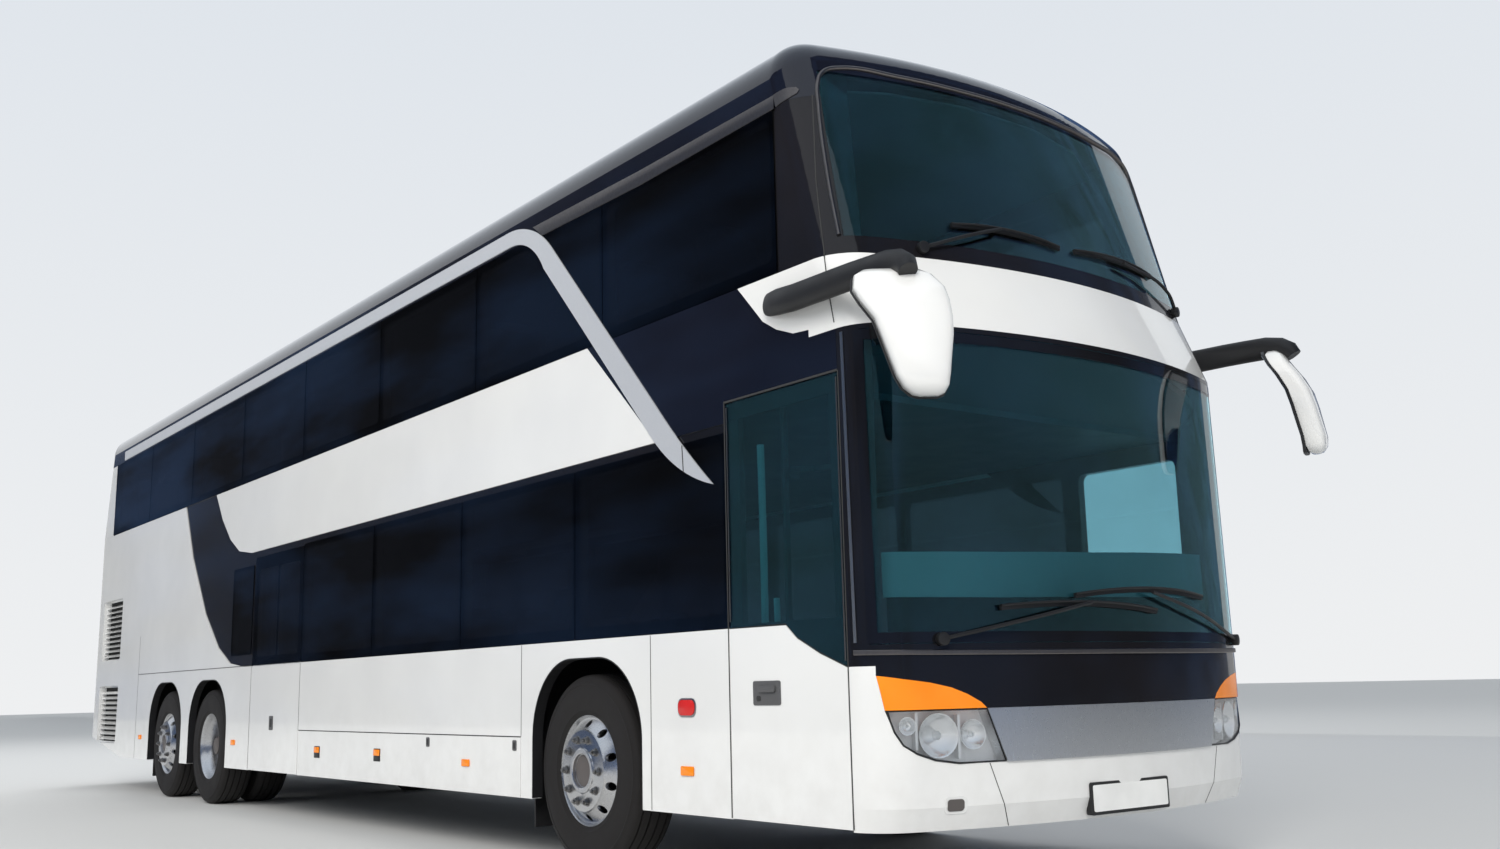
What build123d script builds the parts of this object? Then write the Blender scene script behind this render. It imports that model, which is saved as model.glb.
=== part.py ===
from build123d import *

# Three-axle double-deck touring coach, in millimetres.
# +X is forward, +Y the driver's side, +Z up, with the road at Z = 0 and the origin under the middle of the coach.
# Side panels are flat outlines in the XZ plane, extruded through the wall.
# Front and tail panels follow one plan curve, two corner arcs and a wide face arc, lofted between heights.

import os
from math import asin, cos, radians, sin, tan

# Overall sizes
half_width = 1275
roof_z = 4000
roof_radius = 215
wall = 60
glass = 8
joint = 0.8
door_gap = 6
fit_gap = 0.3

# Places along the coach: the front axle is the datum, and the mirrors reach a little past the front
front_overhang = 2610
rear_overhang = 3230
main_base = 6700
tag_base = 1350
mirror_reach = 328
front_axle_x = (rear_overhang + tag_base + main_base - front_overhang - mirror_reach) / 2
drive_axle_x = front_axle_x - main_base
tag_axle_x = drive_axle_x - tag_base
face_x = front_axle_x + front_overhang
tail_x = tag_axle_x - rear_overhang

# Heights of the body's long lines
skirt_z = 340
flap_z = 675
belt_z = 1200
cornice_low_z = 2175
cornice_high_z = 2815
cant_depth = 360
cant_z = roof_z - cant_depth
front_door_top_z = 2272
mid_door_top_z = 2120

# Plan curves of the front and of the tail
front_face_r = 3450
front_corner_r = 230
tail_face_r = 9000
tail_corner_r = 230

# Front: heights, and how far the skin stands back from the foremost point there
bumper_low_z, bumper_low_back = 335, 50
bumper_mid_z, bumper_mid_back = 430, 14
lamp_low_z, lamp_split_z, lamp_high_z = 600, 822, 1003
screen_low_z, screen_high_z = 1090, 2440
band_low_z, band_low_back = 2463, 20
band_high_back = 165
upper_lean = 15.5
upper_screen_low_z = 2900
upper_screen_high_z = roof_z - roof_radius
screen_edge = 2300
upper_edge_low, upper_edge_high = 2180, 1975

# Tail: lean of the upper part, bumper, lid, lamps and window
tail_lean = 14
tail_low_z, tail_bumper_z = 540, 700
lid_half, lid_high_z = 900, 1500
tail_lamp_inner, tail_lamp_outer = 985, 1150
tail_lamp_low_z, tail_lamp_high_z = 780, 1180
rear_window_half, rear_window_low_z, rear_window_high_z = 880, 2960, 3520

# Seams along the side, measured from the front axle
front_door_rear = 1356
post_clear = 2.7
mid_door_rear, mid_door_front = -5470, -4300
seam_front, seam_rear = 688, -668
flap_rear, flap_front = -4297, -668
rear_seam = -9130

# Windows
window_edge = 45
pillar = 80
upper_rear, upper_count = -10600, 8
lower_stations = [-4300, -2890, -1475, -60, 1356]

# Wheels, axles and steering
tyre_r = 510
tyre_width = 280
rim_r = 285
wheel_plane_y = 1105
twin_spacing = 330
kingpin_y = 895
kingpin_r = 32
spindle_r = 50
arch_half, arch_top_z, arch_radius = 570, 1106, 430
arch_shift = 35
housing_half, housing_inner, housing_skin = 650, 590, 10

# Decks, chassis and engine
floor_z, floor_thick = 395, 50
deck_z, deck_thick = 2260, 60
bulkhead_x, bulkhead_thick = -6050, 40
rail_inner, rail_outer, rail_low_z, rail_high_z = 380, 460, 700, 840
tow_pin_x, tow_pin_r = -11100, 25.5

# Doors
door_thick = 40
door_post_r = 22
door_post_in = 125
door_pin_in = 70

skin_y = half_width
inner_y = half_width - wall
frame_y = half_width - glass
tail_corner = tail_face_r - (tail_face_r - tail_corner_r) * cos(
    asin((half_width - tail_corner_r) / (tail_face_r - tail_corner_r))
)
tail_seam = tail_x - front_axle_x + tail_corner + 4
front_corner = front_face_r - (front_face_r - front_corner_r) * cos(
    asin((half_width - front_corner_r) / (front_face_r - front_corner_r))
)
post_line = front_overhang - band_low_back - front_corner - post_clear

os.makedirs("parts", exist_ok=True)


def save(part, name):
    """Labels one finished piece and writes it."""
    part.label = name
    export_step(part, f"parts/{name}.step")


def along(distance):
    """The place at a distance ahead of the front axle."""
    return front_axle_x + distance


def plan_points(z_face, corner, skin, way, face_r, corner_r):
    """Side, bend and knee points of one end's plan curve, lowest Y first, and its foremost point."""
    reach = half_width - corner_r
    turn = asin(reach / (face_r - corner_r))
    centre = z_face - way * corner
    r = corner_r - skin
    side, bend, knee = (
        [(centre + way * r * cos(a), s * (reach + r * sin(a))) for s in (-1, 1)]
        for a in (radians(90), (radians(90) + turn) / 2, turn)
    )
    return side, bend, knee, (z_face - way * skin, 0)


def end_curve(points):
    """Draws one end's plan curve from its low-Y side to its high-Y side."""
    side, bend, knee, nose = points
    return [
        ThreePointArc(side[0], bend[0], knee[0]),
        ThreePointArc(knee[0], nose, knee[1]),
        ThreePointArc(knee[1], bend[1], side[1]),
    ]


def front_points(back, skin):
    return plan_points(face_x - back, front_corner, skin, 1, front_face_r, front_corner_r)


def tail_points(back, skin):
    return plan_points(tail_x + back, tail_corner, skin, -1, tail_face_r, tail_corner_r)


def wrap(z, curve, into, through, end):
    """One plan section of a wrapped panel between two depths behind the skin, closed at the cross line `end`."""
    with BuildSketch(Plane.XY.offset(z)) as section:
        with BuildLine():
            outer, inner = curve(into), curve(through)
            end_curve(outer)
            end_curve(inner)
            for k in (0, 1):
                Line((end, outer[0][k][1]), outer[0][k])
                Line((end, inner[0][k][1]), inner[0][k])
                Line((end, outer[0][k][1]), (end, inner[0][k][1]))
        make_face()
    return section.sketch


def front_wrap(z, back, into, through, end):
    return wrap(z, lambda skin: front_points(back, skin), into, through, along(end))


def tail_wrap(z, back, into, through, end):
    return wrap(z, lambda skin: tail_points(back, skin), into, through, along(end))


def whole_plan(z, front_back, tail_back, skin):
    """The coach's whole plan outline at one height, so far behind the skin."""
    with BuildSketch(Plane.XY.offset(z)) as section:
        with BuildLine():
            front, tail = front_points(front_back, skin), tail_points(tail_back, skin)
            end_curve(front)
            end_curve(tail)
            for k in (0, 1):
                Line(tail[0][k], front[0][k])
        make_face()
    return section.sketch


def upper_back(z):
    return band_high_back + (z - cornice_high_z) * tan(radians(upper_lean))


def tail_back(z):
    return (z - cornice_high_z) * tan(radians(tail_lean))


def outline(points):
    """A closed outline in the side plane, its points measured from the front axle."""
    Polygon(*[(along(x), z) for x, z in points], align=None)


def panel(x0, x1, z0, z1, gap=joint):
    """A rectangle between four seams, short of each by half the gap."""
    with Locations((along((x0 + x1) / 2), (z0 + z1) / 2)):
        Rectangle(x1 - x0 - gap, z1 - z0 - gap)


def window(x0, x1, z0, z1):
    with Locations((along((x0 + x1) / 2), (z0 + z1) / 2)):
        RectangleRounded(x1 - x0, z1 - z0, window_edge, mode=Mode.SUBTRACT)


def pane(x0, x1, z0, z1):
    with Locations((along((x0 + x1) / 2), (z0 + z1) / 2)):
        RectangleRounded(x1 - x0 - door_gap, z1 - z0 - door_gap, 15)


def swept_line(front, drop):
    """The belt line over the front door: level, then dipping towards its front edge."""
    return [(1776, belt_z - drop), (1850, belt_z - 60 - drop), (2000, belt_z - 130 - drop), (front, belt_z - 196 - drop)]


def swept_skirt(rear, front, gap):
    """The white panel under the dipping belt line, short of its seams by half the gap."""
    r, f, low = rear + gap / 2, front - gap / 2, skirt_z + gap / 2
    outline([(r, low), (r, belt_z - gap / 2)] + swept_line(f, gap / 2) + [(f, low)])


def swept_window(rear, front, top, gap):
    """The dark upper part over the dipping belt line, up to a top height."""
    r, f = rear + gap / 2, front - gap / 2
    outline([(r, top - gap / 2), (r, belt_z + gap / 2)] + swept_line(f, -gap / 2) + [(f, top - gap / 2)])


def arch(centre):
    """A wheel arch's rectangle. Its two upper corners are rounded afterwards."""
    low = skirt_z - 100
    with Locations((along(centre), (low + arch_top_z) / 2)):
        Rectangle(2 * arch_half, arch_top_z - low, mode=Mode.SUBTRACT)


def round_arches(sketch):
    fillet([v for v in sketch.vertices() if abs(v.Y - arch_top_z) < 1], arch_radius)


def screen_side(low, high, gap):
    """Outline in the side plane of everything ahead of a windscreen's side edges."""
    (x0, z0), (x1, z1) = low, high
    with BuildSketch(Plane.XZ.offset(-half_width - 50)) as section:
        outline([(x0 + gap, z0 + gap), (x1 + gap, z1 - gap), (3500, z1 - gap), (3500, z0 + gap)])
    return section.sketch


def cross_box(y0, y1, z0, z1, x0):
    """Outline in the cross plane at x0, given by its Y and Z limits."""
    with BuildSketch(Plane.YZ.offset(x0)) as section:
        with Locations(((y0 + y1) / 2, (z0 + z1) / 2)):
            Rectangle(y1 - y0, z1 - z0)
    return section.sketch


lower_screen = [(screen_edge, screen_low_z), (screen_edge, screen_high_z)]
upper_screen = [(upper_edge_low, upper_screen_low_z), (upper_edge_high, upper_screen_high_z)]
upper_line_low = face_x - band_high_back - front_corner - front_axle_x - 4
upper_line_high = face_x - upper_back(cant_z) - front_corner - front_axle_x - 4
upper_line_top = face_x - upper_back(roof_z) - front_corner - front_axle_x - 4

# Roof: a leaning prism with one large rounded edge all round, hollowed by a smaller copy
with BuildPart() as roof_space:
    add(whole_plan(cant_z, upper_back(cant_z), tail_back(cant_z), wall))
    add(whole_plan(roof_z - wall, upper_back(roof_z - wall), tail_back(roof_z - wall), wall))
    loft(ruled=True)
    fillet(roof_space.faces().sort_by(Axis.Z)[-1].edges(), roof_radius - wall)

with BuildPart() as roof:
    add(whole_plan(cant_z, upper_back(cant_z), tail_back(cant_z), 0))
    add(whole_plan(roof_z, upper_back(roof_z), tail_back(roof_z), 0))
    loft(ruled=True)
    fillet(roof.faces().sort_by(Axis.Z)[-1].edges(), roof_radius)
    add(roof_space.part, mode=Mode.SUBTRACT)
    extrude(screen_side(upper_screen[0], upper_screen[1], 0), amount=2 * half_width + 100, mode=Mode.SUBTRACT)
save(roof.part, "roof")

# Skirts: panels below the belt, cut by the wheel arches, with doors on the right side only
with BuildPart() as skirt_panels:
    with BuildSketch(Plane.XZ.offset(inner_y)) as skirts:
        panel(seam_rear, seam_front, skirt_z, belt_z)
        panel(rear_seam, mid_door_rear, skirt_z, belt_z)
        arch(arch_shift)
        arch(drive_axle_x - front_axle_x + arch_shift)
        arch(tag_axle_x - front_axle_x)
        round_arches(skirts)
        panel(flap_rear, flap_front, flap_z, belt_z)
        panel(seam_front, front_door_rear, skirt_z, belt_z)
    extrude(amount=wall)
    mirror(about=Plane.XZ)
    with BuildSketch(Plane.XZ.offset(-half_width)):
        swept_skirt(front_door_rear, post_line, joint)
        panel(mid_door_rear, mid_door_front, skirt_z, belt_z)
    extrude(amount=wall)

# Rear quarters: white panels whose front edge sweeps up, with two louvred openings at each rear corner
quarter_edge = [(-5700, belt_z + joint), (-6080, 1240), (-6440, 1390), (-6880, 1720), (-7380, 2290), (-7690, cornice_high_z)]
louvre_rear, louvre_front = -10790, -9960
louvre_blocks = [(480, 1100), (1385, 2060)]
louvre_pitch = 55
with BuildPart() as quarter_panels:
    with BuildSketch(Plane.XZ.offset(inner_y)):
        outline(
            quarter_edge
            + [(tail_seam, cornice_high_z), (tail_seam, 530), (-9700, skirt_z)]
            + [(rear_seam - joint, skirt_z), (rear_seam - joint, belt_z + joint)]
        )
        for z0, z1 in louvre_blocks:
            window(louvre_rear, louvre_front, z0, z1)
    extrude(amount=wall)
    mirror(about=Plane.XZ)

# Louvres: slanted blades between two cheeks, let into the openings
blade_depth, blade_rise, blade_thick = 34, 26, 4
with BuildPart() as blades:
    for z0, z1 in louvre_blocks:
        count = int((z1 - z0 - 20) / louvre_pitch)
        start = (z0 + z1 - (count - 1) * louvre_pitch) / 2
        with BuildSketch(Plane.YZ.offset(along(louvre_rear + 12))):
            with Locations(*[(-inner_y - 4, start + k * louvre_pitch) for k in range(count)]):
                Polygon(
                    (0, 0), (-blade_depth, -blade_rise), (-blade_depth, blade_thick - blade_rise), (0, blade_thick),
                    align=None,
                )
        extrude(amount=louvre_front - louvre_rear - 24)
        with BuildSketch(Plane.XZ.offset(inner_y - 12)):
            with Locations((along((louvre_rear + louvre_front) / 2), (z0 + z1) / 2)):
                Rectangle(louvre_front - louvre_rear + 60, z1 - z0 + 60)
                Rectangle(louvre_front - louvre_rear - 60, z1 - z0 - 30, mode=Mode.SUBTRACT)
        extrude(amount=12)
        with BuildSketch(Plane.XZ.offset(inner_y - 12)):
            for x in (louvre_rear + 22, louvre_front - 22):
                with Locations((along(x), (z0 + z1) / 2)):
                    Rectangle(20, z1 - z0 - 120)
        extrude(amount=50)
    mirror(about=Plane.XZ)
save(blades.part, "louvres")

# Cornice: the broad white band between the decks, from the bright arch back to the dark diagonal
cornice_rear = [(-5600, cornice_low_z), (-5940, 2220), (-6210, 2350), (-6470, 2560), (-6690, cornice_high_z)]
with BuildPart() as cornice_panels:
    with BuildSketch(Plane.XZ.offset(inner_y)):
        outline(cornice_rear + [(75, cornice_high_z), (760, cornice_low_z)])
    extrude(amount=wall)
    mirror(about=Plane.XZ)

with BuildPart() as side_panels:
    add(skirt_panels.part)
    add(quarter_panels.part)
    add(cornice_panels.part)
save(side_panels.part, "side_panels")

# Lower window frames stand one glass thickness inside the skin, and the panes lie on them
lower_low_z, lower_high_z = belt_z + 65, cornice_low_z - 80
rear_pane = [mid_door_rear - 560, mid_door_rear - 70, lower_low_z + 60, lower_high_z - 60]
with BuildPart() as lower_window_frames:
    with BuildSketch(Plane.XZ.offset(inner_y)):
        panel(mid_door_front, front_door_rear, belt_z, cornice_low_z)
        for x0, x1 in zip(lower_stations, lower_stations[1:]):
            window(x0 + pillar / 2, x1 - pillar / 2, lower_low_z, lower_high_z)
        outline(
            [(mid_door_rear - joint, cornice_low_z - joint), (mid_door_rear - joint, belt_z + joint)]
            + [(x + 2 * joint, z + joint) for x, z in quarter_edge[:-1]]
            + [(quarter_edge[-1][0] + 2 * joint, cornice_high_z - joint)]
            + [(x - 2 * joint, z - joint) for x, z in cornice_rear[::-1]]
        )
        window(*rear_pane)
    extrude(amount=wall - glass)
    mirror(about=Plane.XZ)
    with BuildSketch(Plane.XZ.offset(-frame_y)):
        panel(mid_door_rear, mid_door_front, belt_z, cornice_low_z)
        window(mid_door_rear + pillar, mid_door_front - pillar, lower_low_z, lower_high_z)
        swept_window(front_door_rear, post_line, front_door_top_z, joint)
        window(front_door_rear + pillar, post_line - pillar, lower_low_z, lower_high_z)
    extrude(amount=wall - glass)
    with BuildSketch(Plane.XZ.offset(inner_y)):
        panel(mid_door_rear, mid_door_front, mid_door_top_z, cornice_low_z)
    extrude(amount=wall - glass)

# Upper window frames run from the tail's upper part to the front's raked post
upper_low_z, upper_high_z = cornice_high_z + 70, cant_z - 50
upper_front = upper_line_high - 20
upper_pitch = (upper_front - upper_rear) / upper_count
with BuildPart() as upper_window_frames:
    with BuildSketch(Plane.XZ.offset(inner_y)):
        outline(
            [(upper_rear, cornice_high_z + joint), (upper_line_low - joint, cornice_high_z + joint)]
            + [(upper_line_high - joint, cant_z - joint), (upper_rear, cant_z - joint)]
        )
        for k in range(upper_count):
            x0 = upper_rear + k * upper_pitch
            window(x0 + pillar / 2, x0 + upper_pitch - pillar / 2, upper_low_z, upper_high_z)
    extrude(amount=wall - glass)
    mirror(about=Plane.XZ)

with BuildPart() as window_frames:
    add(lower_window_frames.part)
    add(upper_window_frames.part)
save(window_frames.part, "window_frames")

# Side panes, bonded on the frames' outer faces
with BuildPart() as side_glass:
    with BuildSketch(Plane.XZ.offset(frame_y)):
        for x0, x1 in zip(lower_stations, lower_stations[1:]):
            pane(x0, x1, belt_z, cornice_low_z - 40)
        for k in range(upper_count):
            pane(upper_rear + k * upper_pitch, upper_rear + (k + 1) * upper_pitch, cornice_high_z, cant_z)
        pane(rear_pane[0] - 30, rear_pane[1] + 30, rear_pane[2] - 30, rear_pane[3] + 30)
    extrude(amount=glass)
    mirror(about=Plane.XZ)
    with BuildSketch(Plane.XZ.offset(-half_width)):
        pane(mid_door_rear, mid_door_front, belt_z, cornice_low_z - 40)
        swept_window(front_door_rear, post_line, front_door_top_z, door_gap)
    extrude(amount=glass)
save(side_glass.part, "side_glass")

# Front quarters: the dark panels over the front door, between the bright arch and the front band
swoosh = [(1480, cornice_high_z), (1545, 2745), (1670, 2610), (1770, 2550), (1890, 2505), (2000, 2498)]
with BuildPart() as front_quarters:
    with BuildSketch(Plane.XZ.offset(inner_y)):
        outline(
            [(75 + 2 * joint, cornice_high_z), (760 + 2 * joint, cornice_low_z + joint)]
            + [(front_door_rear, cornice_low_z + joint), (front_door_rear, front_door_top_z + joint)]
            + [(post_line - joint, front_door_top_z + joint), (post_line - joint, band_low_z - joint)]
            + [(2000 - joint, band_low_z - joint)]
            + [(x - joint, z - joint) for x, z in swoosh[::-1]]
        )
    extrude(amount=wall)
    mirror(about=Plane.XZ)
save(front_quarters.part, "front_quarters")

# Bright strip: along the roof edge, over an arch and down across the side to a point
with BuildPart() as bright_strips:
    with BuildSketch(Plane.XZ.offset(half_width)):
        with BuildLine():
            rear = along(-10250)
            top, low = cant_z + 115, cant_z + 15
            crest, outer_foot = (along(-900), top), (along(-340), cant_z - 110)
            bend_foot, tip = (along(780), cornice_low_z + 175), (along(1255), cornice_low_z - 280)
            inner_foot, inner_bend = (along(740), cornice_low_z + 15), (along(-420), cant_z - 230)
            Line((rear, top), crest)
            ThreePointArc(crest, (along(-600), cant_z + 62), outer_foot)
            Line(outer_foot, bend_foot)
            ThreePointArc(bend_foot, (along(1015), cornice_low_z - 65), tip)
            ThreePointArc(tip, (along(990), cornice_low_z - 175), inner_foot)
            Line(inner_foot, inner_bend)
            ThreePointArc(inner_bend, (along(-610), cant_z - 45), (along(-830), low))
            Line((along(-830), low), (rear, low))
            Line((rear, low), (rear, top))
        make_face()
    extrude(amount=6)
    mirror(about=Plane.XZ)
save(bright_strips.part, "bright_strips")

# Front band: wraps round both corners and runs out in a pointed swoosh on each side
with BuildPart() as front_band:
    add(front_wrap(band_low_z, band_low_back, 0, wall, 2000))
    add(front_wrap(cornice_high_z, band_high_back, 0, wall, 2000))
    loft(ruled=True)
    for way in (1, -1):
        with BuildSketch(Plane.XZ.offset(inner_y * way)):
            outline(swoosh + [(2000, band_low_z), (2020, band_low_z), (2020, cornice_high_z)])
        extrude(amount=wall * way)
save(front_band.part, "front_band")

# Front frame: dark mask, sill, header and posts around the lower windscreen
# The lamp cluster's lines seen from in front: distances from the centre plane and heights
bar_low_half, bar_high_half = 715, 800
lamp_edge = [
    (950, lamp_low_z), (1043, lamp_low_z + 16), (1122, lamp_low_z + 44), (1172, lamp_low_z + 78),
    (1201, lamp_low_z + 132), (1225, lamp_split_z),
]
brow = [
    (bar_high_half + 28, lamp_split_z + 26), (890, lamp_split_z + 60), (962, lamp_split_z + 88),
    (1056, lamp_split_z + 110), (1166, lamp_split_z + 126), (1244, lamp_split_z + 142),
]
cluster_edge = [(0, lamp_low_z)] + lamp_edge + [(1244, lamp_split_z + 142), (1254, roof_z), (0, roof_z)]
mask_edge = [(0, lamp_split_z), (bar_high_half, lamp_split_z)] + brow + [(1254, roof_z), (0, roof_z)]
lens_edge = [(bar_high_half, lamp_split_z), (bar_low_half, lamp_low_z)] + lamp_edge
indicator_edge = [(bar_high_half, lamp_split_z)] + brow + [(1225, lamp_split_z)]
bar_edge = [(0, lamp_low_z), (bar_low_half, lamp_low_z), (bar_high_half, lamp_split_z), (0, lamp_split_z)]


def front_area(points, gap):
    """An area seen from in front, on both sides of the centre plane, its edge drawn in by the gap."""
    with BuildSketch(Plane.YZ.offset(face_x - 700)) as section:
        for way in (1, -1):
            Polygon(*[(y * way, z) for y, z in points], align=None)
        if gap > 0:
            offset(amount=-gap)
    return section.sketch


with BuildPart() as front_mask:
    add(front_wrap(lamp_split_z, 0, 0, wall, post_line + joint))
    add(front_wrap(lamp_high_z + joint, 0, 0, wall, post_line + joint))
    loft(ruled=True)
    extrude(front_area(mask_edge, 0), amount=800, mode=Mode.INTERSECT)

with BuildPart() as front_frame:
    add(front_wrap(lamp_high_z + joint, 0, 0, wall, post_line + joint))
    add(front_wrap(band_low_z - joint, band_low_back, 0, wall, post_line + joint))
    loft(ruled=True)
    extrude(screen_side(lower_screen[0], lower_screen[1], 0), amount=2 * half_width + 100, mode=Mode.SUBTRACT)
    add(front_mask.part)

with BuildPart() as upper_front_frame:
    add(front_wrap(cornice_high_z + joint, band_high_back, 0, wall, upper_line_low))
    add(front_wrap(cant_z - joint, upper_back(cant_z), 0, wall, upper_line_high))
    loft(ruled=True)
    extrude(screen_side(upper_screen[0], upper_screen[1], 0), amount=2 * half_width + 100, mode=Mode.SUBTRACT)

with BuildPart() as front_frames:
    add(front_frame.part)
    add(upper_front_frame.part)
save(front_frames.part, "front_frames")

with BuildPart() as lower_windscreen:
    add(front_wrap(lamp_high_z + joint, 0, 0, glass, post_line))
    add(front_wrap(band_low_z - joint, band_low_back, 0, glass, post_line))
    loft(ruled=True)
    extrude(screen_side(lower_screen[0], lower_screen[1], joint), amount=2 * half_width + 100, mode=Mode.INTERSECT)
save(lower_windscreen.part, "lower_windscreen")

with BuildPart() as upper_windscreen:
    add(front_wrap(cornice_high_z, band_high_back, 0, glass, upper_line_low))
    add(front_wrap(roof_z, upper_back(roof_z), 0, glass, upper_line_top))
    loft(ruled=True)
    extrude(screen_side(upper_screen[0], upper_screen[1], joint), amount=2 * half_width + 100, mode=Mode.INTERSECT)
save(upper_windscreen.part, "upper_windscreen")

# Bumper: rises at both corners beside the lamps, with its lower edge drawn in
with BuildPart() as front_bumper:
    add(front_wrap(bumper_low_z, bumper_low_back, 0, wall, post_line - 50))
    add(front_wrap(bumper_mid_z, bumper_mid_back, 0, wall, post_line - 50))
    loft(ruled=True)
    add(front_wrap(bumper_mid_z, bumper_mid_back, 0, wall, post_line - 50))
    add(front_wrap(lamp_high_z, 0, 0, wall, post_line - 50))
    loft(ruled=True)
    extrude(front_area(cluster_edge, 0), amount=800, mode=Mode.SUBTRACT)
    with BuildSketch(Plane.XZ.offset(-half_width - 50)):
        outline([(post_line, 0), (post_line, 1500), (1500, 1500), (1500, 0)])
    extrude(amount=2 * half_width + 100, mode=Mode.SUBTRACT)


def lamp_row(points):
    """Wrapped front pieces inside an area that is seen from in front."""
    with BuildPart() as piece:
        add(front_wrap(lamp_low_z, 0, 0, wall, post_line))
        add(front_wrap(lamp_high_z, 0, 0, wall, post_line))
        loft(ruled=True)
        extrude(front_area(points, joint), amount=800, mode=Mode.INTERSECT)
    return piece.part


with BuildPart() as headlamps:
    add(lamp_row(lens_edge))
save(headlamps.part, "headlamps")

with BuildPart() as front_indicators:
    add(lamp_row(indicator_edge))
save(front_indicators.part, "front_indicators")

with BuildPart() as grille_bar:
    add(lamp_row(bar_edge))
save(grille_bar.part, "grille_bar")

# Tail: bumper, engine lid, white panels, lamps, and a leaning upper part with its window
tail_line = tail_seam - joint
upper_tail_line = upper_rear - joint


def tail_piece(z0, z1, y0, y1, depth, mode, into=0):
    """A wrapped tail piece between two heights, kept or cut between two places across the coach."""
    with BuildPart() as piece:
        add(tail_wrap(z0, 0, into, depth, tail_line))
        add(tail_wrap(z1, 0, into, depth, tail_line))
        loft(ruled=True)
        if mode is not None:
            extrude(cross_box(y0, y1, 0, roof_z, tail_x - 100), amount=450, mode=mode)
    return piece.part


with BuildPart() as tail_bumper:
    add(tail_piece(tail_low_z, tail_bumper_z - joint, 0, 0, wall, None))

with BuildPart() as bumpers:
    add(front_bumper.part)
    add(tail_bumper.part)
save(bumpers.part, "bumpers")

with BuildPart() as tail_panels:
    add(tail_piece(tail_bumper_z, cornice_high_z, 0, 0, wall, None))
    extrude(cross_box(-lid_half, lid_half, 0, lid_high_z, tail_x - 100), amount=450, mode=Mode.SUBTRACT)
    for way in (-1, 1):
        middle = way * (tail_lamp_inner + tail_lamp_outer) / 2
        half = (tail_lamp_outer - tail_lamp_inner) / 2
        extrude(cross_box(middle - half, middle + half, tail_lamp_low_z, tail_lamp_high_z, tail_x - 100), amount=350, mode=Mode.SUBTRACT)

with BuildPart() as tail_lamps:
    add(
        tail_piece(
            tail_lamp_low_z + joint, tail_lamp_high_z - joint,
            tail_lamp_inner + joint, tail_lamp_outer - joint, wall, Mode.INTERSECT,
        )
    )
    mirror(about=Plane.XZ)
save(tail_lamps.part, "tail_lamps")

with BuildPart() as engine_lid:
    add(
        tail_piece(
            tail_bumper_z + door_gap, lid_high_z - joint,
            door_gap - lid_half, lid_half - door_gap, wall, Mode.INTERSECT,
        )
    )
save(engine_lid.part, "engine_lid")

with BuildPart() as upper_tail:
    add(tail_wrap(cornice_high_z + joint, 0, 0, wall, upper_tail_line))
    add(tail_wrap(cant_z - joint, tail_back(cant_z), 0, wall, upper_tail_line))
    loft(ruled=True)
    extrude(cross_box(-rear_window_half, rear_window_half, rear_window_low_z, rear_window_high_z, tail_x - 100), amount=600, mode=Mode.SUBTRACT)

with BuildPart() as tail:
    add(tail_panels.part)
    add(upper_tail.part)
save(tail.part, "tail_panels")

with BuildPart() as rear_window:
    add(tail_wrap(cornice_high_z + joint, 0, 0, glass, upper_tail_line))
    add(tail_wrap(cant_z - joint, tail_back(cant_z), 0, glass, upper_tail_line))
    loft(ruled=True)
    opening = cross_box(
        joint - rear_window_half, rear_window_half - joint,
        rear_window_low_z + joint, rear_window_high_z - joint, tail_x - 100,
    )
    extrude(opening, amount=600, mode=Mode.INTERSECT)
save(rear_window.part, "rear_window")

# Lower floor, cut round the front wheel housings, and the bulkhead behind the lower saloon
floor_low_z = floor_z - floor_thick
with BuildPart() as lower_floor:
    extrude(whole_plan(floor_low_z, bumper_low_back, 0, wall), amount=floor_thick)
    with BuildSketch(Plane.XY.offset(floor_low_z)):
        with Locations((along(bulkhead_x) - 4000, 0)):
            Rectangle(8000, 2 * half_width)
        for way in (-1, 1):
            with Locations((front_axle_x, way * (housing_inner + half_width) / 2)):
                Rectangle(2 * housing_half, half_width - housing_inner)
    extrude(amount=floor_thick, mode=Mode.SUBTRACT)
save(lower_floor.part, "lower_floor")

with BuildPart() as bulkhead:
    with BuildSketch(Plane.YZ.offset(along(bulkhead_x - bulkhead_thick))):
        with Locations((0, (floor_low_z + deck_z - deck_thick) / 2)):
            Rectangle(2 * inner_y, deck_z - deck_thick - floor_low_z)
    extrude(amount=bulkhead_thick)
save(bulkhead.part, "bulkhead")

# Upper floor: a plate inside the walls with a stair well, and a sloping footwell panel up to the front band
stair_rear, stair_front, stair_inner = -5200, -2900, 560
deck_front = 2080
with BuildPart() as footwell:
    with BuildSketch(Plane.XZ.offset(-inner_y)):
        outline(
            [(deck_front - 60, deck_z - deck_thick), (2560, band_low_z + 15), (2560, band_low_z + 45)]
            + [(deck_front - 60, deck_z)]
        )
    extrude(amount=2 * inner_y)
    extrude(whole_plan(deck_z - 200, band_low_back + 40, 0, wall), amount=600, mode=Mode.INTERSECT)

with BuildPart() as upper_floor:
    extrude(whole_plan(deck_z - deck_thick, band_low_back, 0, wall), amount=deck_thick)
    with BuildSketch(Plane.XY.offset(deck_z - deck_thick)):
        with Locations((along(deck_front) + 500, 0)):
            Rectangle(1000, 2 * half_width)
        with Locations((along((stair_rear + stair_front) / 2), (stair_inner + inner_y) / 2)):
            Rectangle(stair_front - stair_rear, inner_y - stair_inner - 20)
    extrude(amount=deck_thick, mode=Mode.SUBTRACT)
    add(footwell.part)
save(upper_floor.part, "upper_floor")

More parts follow.
